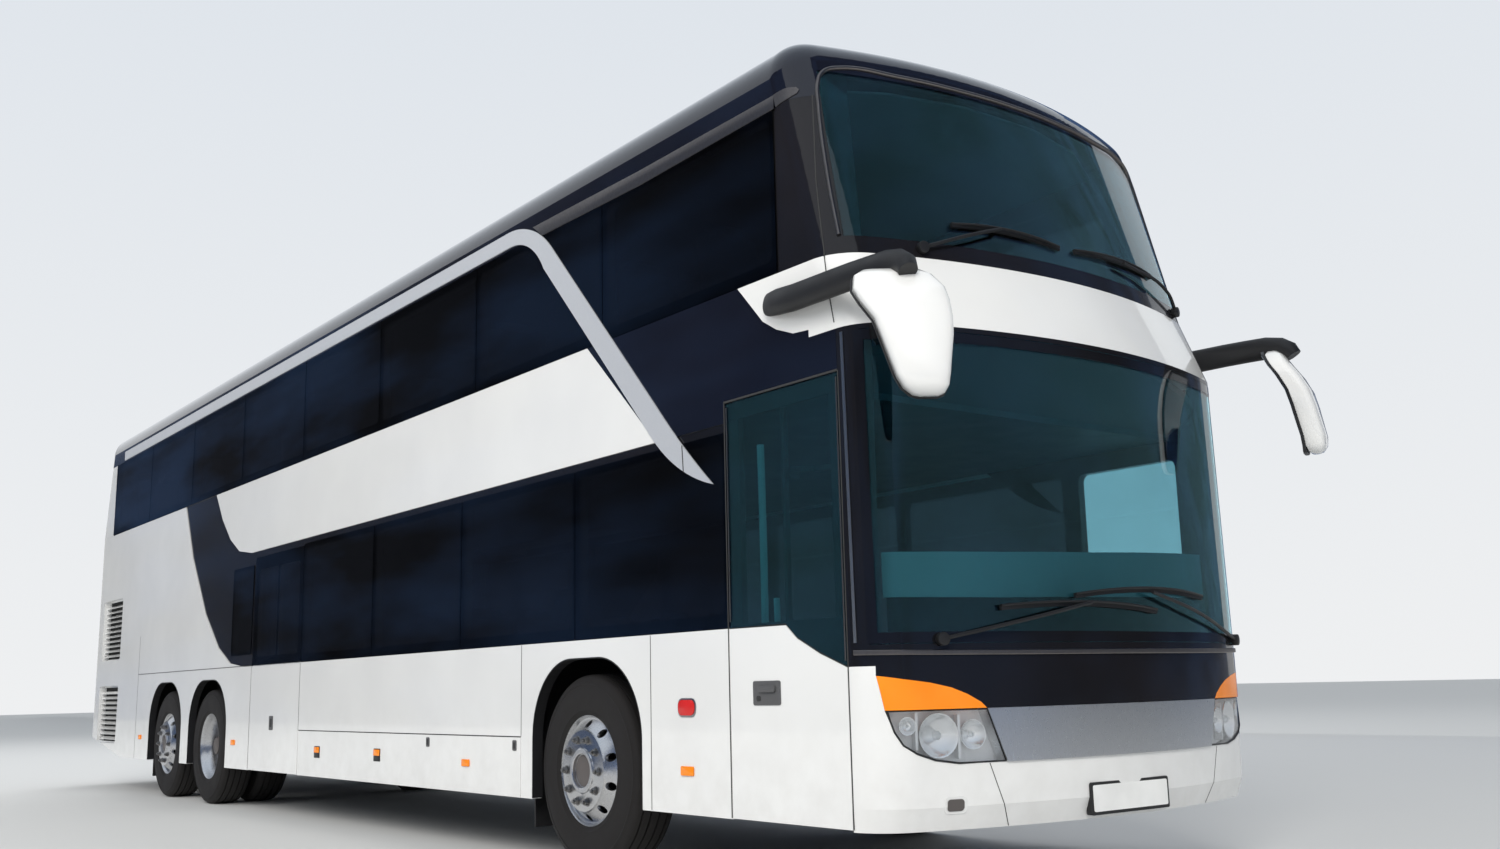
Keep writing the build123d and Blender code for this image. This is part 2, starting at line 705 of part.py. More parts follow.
# Stairs up to the upper deck, opposite the middle door
step_count = 10
step_rise = (deck_z - floor_z) / (step_count + 1)
step_going = (stair_front - stair_rear - 100) / step_count
with BuildPart() as stairs:
    with BuildSketch(Plane.XZ.offset(-inner_y + 20)):
        points = [(stair_rear + 50, floor_z)]
        for k in range(step_count):
            points.append((stair_rear + 50 + k * step_going, floor_z + (k + 1) * step_rise))
            points.append((stair_rear + 50 + (k + 1) * step_going, floor_z + (k + 1) * step_rise))
        points.append((stair_front - 50, floor_z + (step_count - 1) * step_rise - 60))
        points.append((stair_rear + 50 + step_going, floor_z))
        outline(points)
    extrude(amount=inner_y - stair_inner - 60)
save(stairs.part, "stairs")

# Seats: one profile for cushion, back and pedestal, drawn through the width of a pair
seat_pitch = 790
seat_profile = [(70, 0), (300, 0), (320, 300), (470, 320), (480, 430), (100, 420), (0, 1080), (-100, 1080), (-20, 320)]
seat_profile = seat_profile + [(60, 300)]
upper_rows = [-10050 + k * seat_pitch for k in range(15)]
lower_rows = [(-3290, -1), (-2500, -1), (-1710, -1), (-2500, 1), (-1710, 1)]
seat_inner, seat_outer = 330, inner_y - 25


def seat(x, z, y0, y1):
    """A seat between two places across the coach, its pedestal on the floor at z."""
    with BuildPart() as piece:
        with BuildSketch(Plane.XZ.offset(-y1)):
            Polygon(*[(along(x) + px, z + pz) for px, pz in seat_profile], align=None)
        extrude(amount=y1 - y0)
    return piece.part


with BuildPart() as upper_seats:
    for x in upper_rows:
        if not stair_rear - 500 < x < stair_front + 60:
            add(seat(x, deck_z, seat_inner, seat_outer))
        add(seat(x, deck_z, -seat_outer, -seat_inner))

with BuildPart() as lower_seats:
    for x, way in lower_rows:
        add(seat(x, floor_z, min(way * seat_inner, way * seat_outer), max(way * seat_inner, way * seat_outer)))
    add(seat(1000, floor_z, 420, 940))

with BuildPart() as seats:
    add(upper_seats.part)
    add(lower_seats.part)
save(seats.part, "seats")

# Driver's place: dashboard, column and steering wheel
column_tilt = radians(55)
dash_reach = 340
wheel_plane = Plane(origin=(along(1800), 640, 1150), x_dir=(0, 1, 0), z_dir=(-cos(column_tilt), 0, sin(column_tilt)))
with BuildPart() as dashboard:
    with BuildSketch(Plane.XZ.offset(-inner_y)):
        outline(
            [(2300, floor_z), (2560, floor_z), (2560, 1050), (2250, 1050), (2000, 985), (1960, 900), (2200, 820)]
        )
    extrude(amount=inner_y + dash_reach)
    extrude(whole_plan(floor_z - 100, bumper_low_back, 0, wall + joint), amount=1000, mode=Mode.INTERSECT)
    with BuildSketch(Plane(origin=wheel_plane.origin, x_dir=(0, 1, 0), z_dir=(-wheel_plane.z_dir))):
        Circle(35)
    extrude(amount=380)
save(dashboard.part, "dashboard")

with BuildPart() as steering_wheel:
    with BuildSketch(wheel_plane):
        Circle(230)
        Circle(205, mode=Mode.SUBTRACT)
        Rectangle(420, 40)
        Circle(60)
    extrude(amount=25)
save(steering_wheel.part, "steering_wheel")

# Wheel housings: open below, and open to the arch
with BuildPart() as wheel_housings:
    for x0, x1 in ((-housing_half, housing_half), (-8680, bulkhead_x - bulkhead_thick)):
        for skin, mode in ((0, Mode.ADD), (housing_skin, Mode.SUBTRACT)):
            with BuildSketch(Plane.XZ.offset(housing_inner + skin)):
                top = arch_top_z + 30 - skin
                low = floor_z - floor_thick
                with Locations((along((x0 + x1) / 2), (top + low) / 2)):
                    Rectangle(x1 - x0 - 2 * skin, top - low)
            extrude(amount=inner_y - housing_inner - skin, mode=mode)
    for x in (drive_axle_x, tag_axle_x):
        with BuildSketch(Plane.XZ.offset(housing_inner - 5)):
            with Locations((x, (floor_low_z + rail_low_z) / 2)):
                Rectangle(300, rail_low_z - floor_low_z)
        extrude(amount=housing_skin + 10, mode=Mode.SUBTRACT)
    mirror(about=Plane.XZ)
save(wheel_housings.part, "wheel_housings")

# Rear chassis rails, and the engine as one block between them
engine_rear, engine_front, engine_low_z, engine_high_z = -10850, -9350, 560, 1520
with BuildPart() as chassis_rails:
    with BuildSketch(Plane.XY.offset(rail_low_z)):
        for way in (-1, 1):
            with Locations((along((bulkhead_x - bulkhead_thick + engine_rear) / 2), way * (rail_inner + rail_outer) / 2)):
                Rectangle(bulkhead_x - bulkhead_thick - engine_rear, rail_outer - rail_inner)
        for x in (-7400, -9200):
            with Locations((along(x), 0)):
                Rectangle(80, 2 * rail_inner)
        with Locations((along(-9000), 0)):
            Rectangle(80, 2 * inner_y)
        rear_end = tail_x - front_axle_x + wall + tail_face_r - (tail_face_r**2 - rail_outer**2) ** 0.5
        with Locations((along((engine_rear + rear_end) / 2), 0)):
            Rectangle(engine_rear - rear_end - joint, 2 * rail_outer)
    extrude(amount=rail_high_z - rail_low_z)
    with Locations((along(tow_pin_x), 0, rail_high_z)):
        Hole(tow_pin_r, depth=rail_high_z - rail_low_z)
save(chassis_rails.part, "chassis_rails")

with BuildPart() as engine_block:
    with BuildSketch(Plane.XY.offset(engine_low_z)):
        with Locations((along((engine_rear + engine_front) / 2), 0)):
            Rectangle(engine_front - engine_rear - 2, 2 * rail_inner - 1)
    extrude(amount=engine_high_z - engine_low_z)
save(engine_block.part, "engine_block")

# Axles. The steered ones end in kingpin bosses, and the driven one carries the differential housing
boss_r, boss_half = 58, 62
pad_drop = 30
with BuildPart() as front_axle:
    with BuildSketch(Plane.YZ.offset(front_axle_x - 60)):
        Polygon(
            (20 - kingpin_y, tyre_r - boss_half), (75 - kingpin_y, tyre_r - boss_half), (-600, 262), (600, 262),
            (kingpin_y - 75, tyre_r - boss_half), (kingpin_y - 20, tyre_r - boss_half),
            (kingpin_y - 20, tyre_r + boss_half), (kingpin_y - 90, tyre_r + boss_half), (housing_inner + 25, floor_low_z),
            (-housing_inner - 25, floor_low_z), (90 - kingpin_y, tyre_r + boss_half), (20 - kingpin_y, tyre_r + boss_half),
            align=None,
        )
    extrude(amount=120)
    with BuildSketch(Plane.XY.offset(tyre_r - boss_half)):
        with Locations((front_axle_x, -kingpin_y), (front_axle_x, kingpin_y)):
            Circle(boss_r)
    extrude(amount=2 * boss_half)
    with Locations((front_axle_x, -kingpin_y, tyre_r + boss_half), (front_axle_x, kingpin_y, tyre_r + boss_half)):
        Hole(kingpin_r + fit_gap, depth=2 * boss_half)

spring_r = 110
with BuildPart() as tag_axle:
    with BuildSketch(Plane.YZ.offset(tag_axle_x - 60)):
        with Locations((0, tyre_r)):
            Rectangle(2 * kingpin_y - 40, 2 * boss_half)
        with Locations((0, tyre_r - boss_half - pad_drop / 2)):
            Rectangle(2 * rail_outer, pad_drop)
    extrude(amount=120)
    with BuildSketch(Plane.XY.offset(tyre_r - boss_half)):
        with Locations((tag_axle_x, -kingpin_y), (tag_axle_x, kingpin_y)):
            Circle(boss_r)
    extrude(amount=2 * boss_half)
    with BuildSketch(Plane.XY.offset(tyre_r + boss_half)):
        with Locations((tag_axle_x, -(rail_inner + rail_outer) / 2), (tag_axle_x, (rail_inner + rail_outer) / 2)):
            Circle(spring_r)
    extrude(amount=rail_low_z - tyre_r - boss_half)
    with Locations((tag_axle_x, -kingpin_y, tyre_r + boss_half), (tag_axle_x, kingpin_y, tyre_r + boss_half)):
        Hole(kingpin_r + fit_gap, depth=2 * boss_half)

hub_inner_y = 1000
with BuildPart() as drive_axle:
    tube_end = wheel_plane_y - twin_spacing - 20
    with BuildSketch(Plane.XZ.offset(-tube_end)):
        with Locations((drive_axle_x, tyre_r)):
            Circle(85)
    extrude(amount=2 * tube_end)
    with BuildSketch(Plane.XZ.offset(-wheel_plane_y - 60)):
        with Locations((drive_axle_x, tyre_r)):
            Circle(spindle_r)
    extrude(amount=2 * wheel_plane_y + 120)
    with Locations((drive_axle_x, 0, tyre_r)):
        Sphere(230)
    with BuildSketch(Plane.XY.offset(tyre_r + 40)):
        with Locations((drive_axle_x, -(rail_inner + rail_outer) / 2), (drive_axle_x, (rail_inner + rail_outer) / 2)):
            Circle(spring_r)
    extrude(amount=rail_low_z - tyre_r - 40)

with BuildPart() as axles:
    add(front_axle.part)
    add(tag_axle.part)
    add(drive_axle.part)
save(axles.part, "axles")


def knuckle(x, way):
    """A steering knuckle: kingpin, the yoke's two arms and web, and the wheel spindle, on one side."""
    arm = 30
    reach = 1000
    with BuildPart() as piece:
        with BuildSketch(Plane.XY.offset(tyre_r - boss_half - 1 - arm)):
            with Locations((x, kingpin_y)):
                Circle(kingpin_r)
        extrude(amount=2 * (boss_half + 1 + arm))
        for z in (tyre_r - boss_half - fit_gap - arm, tyre_r + boss_half + fit_gap):
            with BuildSketch(Plane.XY.offset(z)):
                with Locations((x, kingpin_y)):
                    Circle(55)
                with Locations((x, (kingpin_y + reach) / 2)):
                    Rectangle(100, reach - kingpin_y)
            extrude(amount=arm)
        with BuildSketch(Plane.XZ.offset(-reach)):
            with Locations((x, tyre_r)):
                Rectangle(100, 2 * (boss_half + arm + fit_gap))
        extrude(amount=30)
        with BuildSketch(Plane.XZ.offset(-wheel_plane_y - 60)):
            with Locations((x, tyre_r)):
                Circle(spindle_r)
        extrude(amount=wheel_plane_y + 60 - reach + 5)
        if way < 0:
            mirror(about=Plane.XZ, mode=Mode.REPLACE)
    return piece.part


for name, x, way in (
    ("front_left_knuckle", front_axle_x, 1),
    ("front_right_knuckle", front_axle_x, -1),
    ("tag_left_knuckle", tag_axle_x, 1),
    ("tag_right_knuckle", tag_axle_x, -1),
):
    save(knuckle(x, way), name)

# Tyre section: half of it from the tread's middle to the bead, as radius and distance from the wheel plane
tyre_section = [(tyre_r, 0), (tyre_r - 4, 100), (tyre_r - 22, 122), (440, 140), (360, 132), (rim_r, 105)]
tyre_section = tyre_section + [(rim_r, 0)]
# Wheel sections, from the hub bore outward: domed for single wheels, deep for the outer twin
bore_r = spindle_r + fit_gap
flange_r = 300
steel_section = [
    (bore_r, 40), (110, 62), (125, 62), (175, 40), (235, 22), (252, 60), (262, 128), (flange_r, 135), (flange_r, 125),
    (rim_r, 112), (rim_r, -112), (flange_r, -125), (flange_r, -135), (262, -128), (242, 0), (175, 15), (120, 20),
    (bore_r, -40),
]
inner_section = [
    (bore_r, 50), (175, 50), (250, 40), (262, 128), (flange_r, 135), (flange_r, 125), (rim_r, 112), (rim_r, -112),
    (flange_r, -125), (flange_r, -135), (262, -128), (240, 10), (175, 20), (bore_r, 10),
]


def turned(x, y, way, sections):
    """Rings turned about a wheel's own axle, from half sections given as radius and distance outward."""
    with BuildPart() as piece:
        for shift, section in sections:
            with BuildSketch(Plane.YZ.offset(x)):
                Polygon(*[(way * (y + shift + a), tyre_r + r) for r, a in section], align=None)
            revolve(axis=Axis((x, 0, tyre_r), (0, 1, 0)))
    return piece.part


whole_tyre = tyre_section[:-1] + [(r, -a) for r, a in tyre_section[1:-1]][::-1]
outer_twin = [
    (bore_r, 70), (110, 75), (130, 60), (150, -60), (175, -70), (232, -75), (245, -60), (262, 128), (flange_r, 135),
    (flange_r, 125), (rim_r, 112), (rim_r, -112), (flange_r, -125), (flange_r, -135), (262, -128), (240, -110),
    (175, -95), (bore_r, -95),
]
for corner, x, way in (
    ("front_left", front_axle_x, 1),
    ("front_right", front_axle_x, -1),
    ("tag_left", tag_axle_x, 1),
    ("tag_right", tag_axle_x, -1),
):
    save(turned(x, wheel_plane_y, way, [(0, whole_tyre)]), corner + "_tyre")
    save(turned(x, wheel_plane_y, way, [(0, steel_section)]), corner + "_rim")
for corner, way in (("drive_left", 1), ("drive_right", -1)):
    twins = [(0, whole_tyre), (-twin_spacing, whole_tyre)]
    save(turned(drive_axle_x, wheel_plane_y, way, twins), corner + "_tyres")
    rims = [(0, outer_twin), (-twin_spacing, inner_section)]
    save(turned(drive_axle_x, wheel_plane_y, way, rims), corner + "_rims")


# Doors swing out on a post and stay parallel to the side: the leaf turns back as its bent arms turn out
leaf_in_y = half_width - door_thick
leaf_pin_y = leaf_in_y - 30
door_arm_z = (820, 1900)
arm_thick, arm_width, door_pin_r, eye_r = 24, 26, 12, 24


def door_parts(rear, front, top, post_x, bulge, label, swept):
    """One door's leaf, pane and arms. The leaf's pins stand at its middle, and the arms bend round the doorway's edge."""
    middle = (rear + front) / 2
    low = skirt_z + door_gap / 2
    with BuildPart() as leaf:
        with BuildSketch(Plane.XZ.offset(leaf_in_y)):
            panel(rear, front, low - door_gap / 2, top, door_gap)
            window(rear + 95, front - 95, belt_z + 75, top - 110)
        extrude(amount=frame_y - leaf_in_y)
        with BuildSketch(Plane.XZ.offset(frame_y)):
            if swept:
                swept_skirt(rear, front, door_gap)
            else:
                panel(rear, front, low - door_gap / 2, belt_z, door_gap)
        extrude(amount=glass)
        for z in door_arm_z:
            with BuildSketch(Plane.XY.offset(z - arm_thick / 2 - 1 - 30)):
                with Locations((along(middle), -(leaf_in_y + leaf_pin_y - eye_r) / 2)):
                    Rectangle(50, leaf_in_y - leaf_pin_y + eye_r)
            extrude(amount=30)
            with BuildSketch(Plane.XY.offset(z - arm_thick / 2 - 1)):
                with Locations((along(middle), -leaf_pin_y)):
                    Circle(door_pin_r)
            extrude(amount=arm_thick + 2)
        with BuildSketch(Plane.XZ.offset(leaf_in_y)):
            with Locations((along(middle), (belt_z + top) / 2 - 20)):
                Rectangle(44, top - belt_z - 90)
        extrude(amount=frame_y - leaf_in_y)
    save(leaf.part, label)
    with BuildPart() as leaf_pane:
        with BuildSketch(Plane.XZ.offset(frame_y)):
            if swept:
                swept_window(rear, front, top, door_gap)
            else:
                panel(rear, front, belt_z, top, door_gap)
        extrude(amount=glass)
    save(leaf_pane.part, label + "_glass")
    post = Vector(along(post_x), -(inner_y - door_pin_in))
    pin = Vector(along(middle), -leaf_pin_y)
    run = (pin - post).normalized()
    inward = Vector(-run.Y, run.X) if run.X > 0 else Vector(run.Y, -run.X)
    reach = (pin - post).length
    bends = [post, post + run * reach * 0.33 + inward * bulge, post + run * reach * 0.76 + inward * bulge * 0.85, pin]
    with BuildPart() as arms:
        with BuildSketch(Plane.XY.offset(floor_z + fit_gap)):
            with Locations((post.X, post.Y)):
                Circle(door_post_r)
        extrude(amount=deck_z - deck_thick - floor_z - 2 * fit_gap)
        for z in door_arm_z:
            with BuildSketch(Plane.XY.offset(z - arm_thick / 2)):
                for a, b in zip(bends, bends[1:]):
                    turn = (b - a).get_signed_angle(Vector(1, 0, 0), Vector(0, 0, -1))
                    with Locations(((a.X + b.X) / 2, (a.Y + b.Y) / 2)):
                        SlotCenterToCenter((b - a).length, arm_width, rotation=turn)
                with Locations((pin.X, pin.Y)):
                    Circle(eye_r)
                    Circle(door_pin_r + fit_gap, mode=Mode.SUBTRACT)
            extrude(amount=arm_thick)
    save(arms.part, label + "_arms")
    print(label, "post", post, "pin", pin)


door_parts(front_door_rear, post_line, front_door_top_z, post_line - 63, 72, "front_door", True)
door_parts(mid_door_rear, mid_door_front, mid_door_top_z, mid_door_rear + 60, 82, "mid_door", False)

# Long side flaps, hung along their upper edge
flap_thick = 50
for way, side in ((1, "left"), (-1, "right")):
    with BuildPart() as flap:
        with BuildSketch(Plane.XZ.offset(-way * (half_width - flap_thick))):
            with Locations((along((flap_rear + flap_front) / 2), (skirt_z + flap_z) / 2)):
                Rectangle(flap_front - flap_rear - 2 * door_gap, flap_z - skirt_z - joint)
        extrude(amount=-way * flap_thick)
    save(flap.part, side + "_flap")

# Mudflaps, on the rear walls of the front housings and of the rear ones
mudflap_thick, mudflap_low_z, mudflap_high_z = 10, 175, 760
with BuildPart() as mudflaps:
    for x in (-housing_half + housing_skin, -8680 + housing_skin):
        with BuildSketch(Plane.YZ.offset(along(x) + fit_gap)):
            with Locations(((housing_inner + inner_y) / 2 + 20, (mudflap_low_z + mudflap_high_z) / 2)):
                Rectangle(inner_y - housing_inner - 70, mudflap_high_z - mudflap_low_z)
        extrude(amount=mudflap_thick)
    mirror(about=Plane.XZ)
save(mudflaps.part, "mudflaps")

# Mirrors: a deep arm leaves each side, runs forward past the corner and carries a hanging shell
mirror_tip = front_overhang + mirror_reach
mirror_turn = 35
mirror_top_z = 2553
mirror_arm_half, mirror_arm_high = 38, 61
mirror_path = [
    (1790, 1296, 2664), (1960, 1334, 2645), (2200, 1350, 2638), (2500, 1360, 2630), (2660, 1364, 2624), (2790, 1368, 2616),
]
mirror_rings = [
    (mirror_top_z, 104, 1384, 165), (2500, 72, 1383, 185), (2440, 46, 1390, 170), (2280, 7, 1388, 142),
    (2120, 0, 1394, 106), (2030, 14, 1375, 60),
]
mirror_deep, mirror_round = 130, 40


def ring_centre(lag, half):
    """Distance of a turned ring's centre from the front axle, its front a lag behind the tip."""
    turn = radians(mirror_turn)
    reach = (half - mirror_round) * sin(turn) + (mirror_deep / 2 - mirror_round) * cos(turn) + mirror_round
    return mirror_tip - lag - reach


with BuildPart() as mirror_arms:
    with BuildLine():
        arm_line = Spline(*[(along(x), y, z) for x, y, z in mirror_path])
    start = arm_line @ 0
    ahead = arm_line % 0
    with BuildSketch(Plane(origin=start, x_dir=(-ahead.Y, ahead.X, 0), z_dir=ahead)):
        Ellipse(mirror_arm_half, mirror_arm_high)
    sweep()
    with BuildSketch(Plane.XZ.offset(-half_width)):
        with Locations((along(mirror_path[0][0] + 15), mirror_path[0][2])):
            SlotOverall(190, 2 * mirror_arm_high - 16)
    extrude(amount=-26)
    with BuildSketch(Plane.XY.offset(mirror_top_z + fit_gap)):
        with Locations((along(mirror_path[4][0] + 20), mirror_path[4][1])):
            Circle(34)
    extrude(amount=60)
    with BuildSketch(Plane.XY.offset(mirror_top_z - 400)):
        with Locations((along(1900), half_width - 250)):
            Rectangle(1200, 500)
    extrude(amount=800, mode=Mode.SUBTRACT)
    mirror(about=Plane.XZ)
save(mirror_arms.part, "mirror_arms")

with BuildPart() as mirror_shells:
    for z, lag, y, half in mirror_rings:
        with BuildSketch(Plane.XY.offset(z)):
            with Locations(Location((along(ring_centre(lag, half)), y), 90 + mirror_turn)):
                RectangleRounded(2 * half, mirror_deep, mirror_round)
    loft(ruled=True)
    mirror(about=Plane.XZ)
save(mirror_shells.part, "mirror_shells")
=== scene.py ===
# %% [markdown]
# A three-axle double-deck touring coach, dressed for its photograph.
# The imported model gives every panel, pane, wheel and door its true place, in metres.
# Loading it first means that each new piece can be put where the model says, with nothing fitted by eye.

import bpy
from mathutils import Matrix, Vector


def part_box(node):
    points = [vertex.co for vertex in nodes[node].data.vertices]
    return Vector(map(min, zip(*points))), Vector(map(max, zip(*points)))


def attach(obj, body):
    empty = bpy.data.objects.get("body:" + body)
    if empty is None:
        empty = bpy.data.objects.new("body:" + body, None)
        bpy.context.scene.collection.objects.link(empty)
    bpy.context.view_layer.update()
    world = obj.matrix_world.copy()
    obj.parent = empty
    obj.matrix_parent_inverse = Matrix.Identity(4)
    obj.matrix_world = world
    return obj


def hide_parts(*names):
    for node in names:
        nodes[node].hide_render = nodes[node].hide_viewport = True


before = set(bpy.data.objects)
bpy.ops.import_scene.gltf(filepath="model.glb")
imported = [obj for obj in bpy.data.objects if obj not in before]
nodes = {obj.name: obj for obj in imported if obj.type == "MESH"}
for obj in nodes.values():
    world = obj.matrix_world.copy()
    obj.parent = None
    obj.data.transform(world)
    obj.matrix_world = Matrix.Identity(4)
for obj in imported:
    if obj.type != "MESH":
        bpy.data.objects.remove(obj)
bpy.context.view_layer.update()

# %% [markdown]
# Blender's operators act on whatever is selected, so a few small helpers keep that in hand.
# Each one starts from nothing selected and leaves one object active, as a person at the keyboard would.

# %% Tools for working by hand
import math

import bpy
from mathutils import Matrix, Vector

skin_y, tyre_radius = 1.275, 0.51
front_axle_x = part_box("front_left_tyre")[0][0] + tyre_radius


def clear():
    """Back to object mode, with nothing selected."""
    if bpy.context.mode != "OBJECT":
        bpy.ops.object.mode_set(mode="OBJECT")
    bpy.ops.object.select_all(action="DESELECT")


def only(piece):
    clear()
    piece.select_set(True)
    bpy.context.view_layer.objects.active = piece
    return piece


def edit(piece):
    """Opens a piece with all of its points selected."""
    only(piece)
    bpy.ops.object.mode_set(mode="EDIT")
    bpy.ops.mesh.select_mode(type="VERT")
    bpy.ops.mesh.select_all(action="SELECT")


def cut(place, facing):
    """Cuts the whole of the open piece along a plane."""
    bpy.ops.mesh.select_all(action="SELECT")
    bpy.ops.mesh.bisect(plane_co=place, plane_no=facing)


def settle(piece):
    """Puts the piece's place, turn and size into its mesh."""
    only(piece)
    bpy.ops.object.transform_apply(location=True, rotation=True, scale=True)
    return piece


def finish_with(piece, kind, **settings):
    """Adds one modifier and applies it."""
    only(piece)
    modifier = piece.modifiers.new(kind.lower(), kind)
    for key, value in settings.items():
        setattr(modifier, key, value)
    bpy.ops.object.modifier_apply(modifier=modifier.name)
    return piece


def eased(piece, width, segments=2, angle=50):
    """Bevels only the edges that turn by more than an angle."""
    return finish_with(
        piece, "BEVEL", width=width, segments=segments, limit_method="ANGLE", angle_limit=math.radians(angle))


def face_out(piece):
    """Merges doubles and turns every face outward."""
    edit(piece)
    bpy.ops.mesh.remove_doubles(threshold=0.00002)
    bpy.ops.mesh.normals_make_consistent(inside=False)
    clear()
    return piece


def smooth(piece, angle=35):
    only(piece)
    bpy.ops.object.shade_smooth_by_angle(angle=math.radians(angle))
    return piece


def round_block(sides, radius, depth, place=(0, 0, 0), across=False):
    """A cylinder standing upright, or lying across the coach."""
    clear()
    bpy.ops.mesh.primitive_cylinder_add(
        vertices=sides, radius=radius, depth=depth, location=place, rotation=(math.pi / 2 if across else 0, 0, 0))
    return settle(bpy.context.object)


def copied(master, matrix):
    """A copy of a piece, with its mesh moved."""
    only(master)
    bpy.ops.object.duplicate()
    piece = bpy.context.object
    piece.data.transform(matrix)
    return piece


def remove(*pieces):
    for piece in pieces:
        bpy.data.objects.remove(piece, do_unlink=True)


print("tools ready for", len(nodes), "model nodes")

# %% [markdown]
# The photograph was taken standing, close to the front corner on the door side, and looking slightly up.
# That gives strong perspective, so the camera's place, turn and focal length all matter, not only its direction.

# %% Camera where the photographer stood
eye = Vector((10.77466, -5.16761, 0.93553))
up_tilt, pan, roll = 0.186491861, 0.914082831, 0.0239035236
focal_px, image_width, sensor_mm = 1384.4766, 1500, 36

look = Matrix.Rotation(pan, 3, "Z") @ Matrix.Rotation(up_tilt, 3, "X") @ Matrix.Rotation(roll, 3, "Y")
axes = Matrix((look.col[0], look.col[2], -look.col[1])).transposed()
bpy.ops.object.camera_add()
camera = bpy.context.object
camera.name = "camera"
camera.matrix_world = Matrix.Translation(eye) @ axes.to_4x4()
camera.data.sensor_width = sensor_mm
camera.data.lens = sensor_mm * focal_px / image_width
camera.data.clip_end = 400
scene = bpy.context.scene
scene.camera = camera
print("lens", round(camera.data.lens, 2), "mm")

# %% [markdown]
# Every finish and backdrop here is a small tree of shader nodes, so the trees get helpers of their own.
# An input takes either a plain value or another node's output, and one function serves for both.

# %% Shader node tools
def feed(target, inputs):
    """Gives each named input of a node a value, or joins it to another node's output."""
    for key, value in inputs.items():
        if isinstance(value, bpy.types.NodeSocket):
            target.id_data.links.new(value, target.inputs[key])
        else:
            target.inputs[key].default_value = value
    return target


def node(tree, kind, inputs, **settings):
    made = tree.nodes.new("ShaderNode" + kind)
    for key, value in settings.items():
        setattr(made, key, value)
    return feed(made, inputs)


def node_material(name):
    material = bpy.data.materials.new(name)
    material.use_nodes = True
    return material, material.node_tree, material.node_tree.nodes["Principled BSDF"]


def maths(tree, operation, a, b):
    return node(tree, "Math", {0: a, 1: b}, operation=operation).outputs[0]


def place_on(tree, axis, kind="Object"):
    """One coordinate of the point being shaded."""
    place = node(tree, "TexCoord", {}).outputs[kind]
    return node(tree, "SeparateXYZ", {"Vector": place}).outputs[axis]


def object_noise(tree, scale, detail=3.0, stretch=(1, 1, 1)):
    place = node(tree, "TexCoord", {}).outputs["Object"]
    fit = node(tree, "Mapping", {"Vector": place, "Scale": stretch})
    return node(tree, "TexNoise", {"Vector": fit.outputs["Vector"], "Scale": scale, "Detail": detail}).outputs["Fac"]


def between(tree, value, low, high, start=0.0, end=1.0):
    """A value's run from start to end, carried over to low and high."""
    spread = {"Value": value, "From Min": start, "From Max": end, "To Min": low, "To Max": high}
    return node(tree, "MapRange", spread).outputs["Result"]


def mixed(tree, value, *colours):
    a, b = [(*colour, 1) if isinstance(colour, tuple) else colour for colour in colours]
    return node(tree, "Mix", {0: value, 6: a, 7: b}, data_type="RGBA").outputs[2]


def ramp(tree, value, *ends):
    """A colour ramp between two ends, each a position and a colour."""
    made = node(tree, "ValToRGB", {"Fac": value})
    for k, (position, colour) in enumerate(ends):
        made.color_ramp.elements[k].position = position
        made.color_ramp.elements[k].color = (*colour, 1)
    return made.outputs["Color"]


def bumped(tree, shader, height, strength, distance):
    bump = node(tree, "Bump", {"Strength": strength, "Distance": distance, "Height": height})
    feed(shader, {"Normal": bump.outputs["Normal"]})


print("shader tools ready")

# %% [markdown]
# A studio wants a broad key light, softer lamps from behind and from the side, and a pale floor that takes the shadow.
# The world is dimmer for lighting than it looks, so that the white paint keeps its shading and still stands on white.
# Dark cards stand beside the coach, because glossy black bodywork shows whatever it faces.

# %% Floor and world
bpy.ops.mesh.primitive_plane_add(size=240, location=(0, 0, 0))
floor = bpy.context.object
floor.name = "floor"
settle(floor)
floor_paint, tree, shader = node_material("studio_floor")
grain = node(tree, "TexNoise", {"Scale": 3.0}).outputs["Fac"]
feed(shader, {"Base Color": (0.66, 0.66, 0.65, 1), "Roughness": between(tree, grain, 0.6, 0.72)})
floor.data.materials.append(floor_paint)

world = bpy.data.worlds.new("studio")
scene.world = world
world.use_nodes = True
sky = world.node_tree
sky.nodes.clear()
rays = node(sky, "LightPath", {}).outputs
seen = maths(sky, "MAXIMUM", rays["Is Camera Ray"], rays["Is Glossy Ray"])
seen = maths(sky, "MAXIMUM", seen, rays["Is Transmission Ray"])
fade = ramp(sky, place_on(sky, "Z", "Generated"), (0.0, (0.86, 0.87, 0.88)), (1.0, (0.60, 0.68, 0.78)))
light_part = node(sky, "Background", {"Color": (0.90, 0.95, 1.0, 1), "Strength": 0.62}).outputs[0]
seen_part = node(sky, "Background", {"Color": fade, "Strength": 1.0}).outputs[0]
choose = node(sky, "MixShader", {"Fac": seen, 1: light_part, 2: seen_part}).outputs[0]
node(sky, "OutputWorld", {"Surface": choose})
scene.view_settings.view_transform = "Standard"
print("floor and world set")


# %% Lamps and cards
def lamp(name, place, aim, size, power, tint=(1, 1, 1)):
    """A broad lamp, left out of reflections, where it would show as a white box."""
    bpy.ops.object.light_add(type="AREA", location=place)
    light = bpy.context.object
    light.name = name
    light.data.shape = "RECTANGLE"
    light.data.size, light.data.size_y = size
    light.data.energy = power
    light.data.color = tint
    light.rotation_mode = "QUATERNION"
    light.rotation_quaternion = (Vector(aim) - Vector(place)).to_track_quat("-Z", "Y")
    light.visible_glossy = light.visible_transmission = False


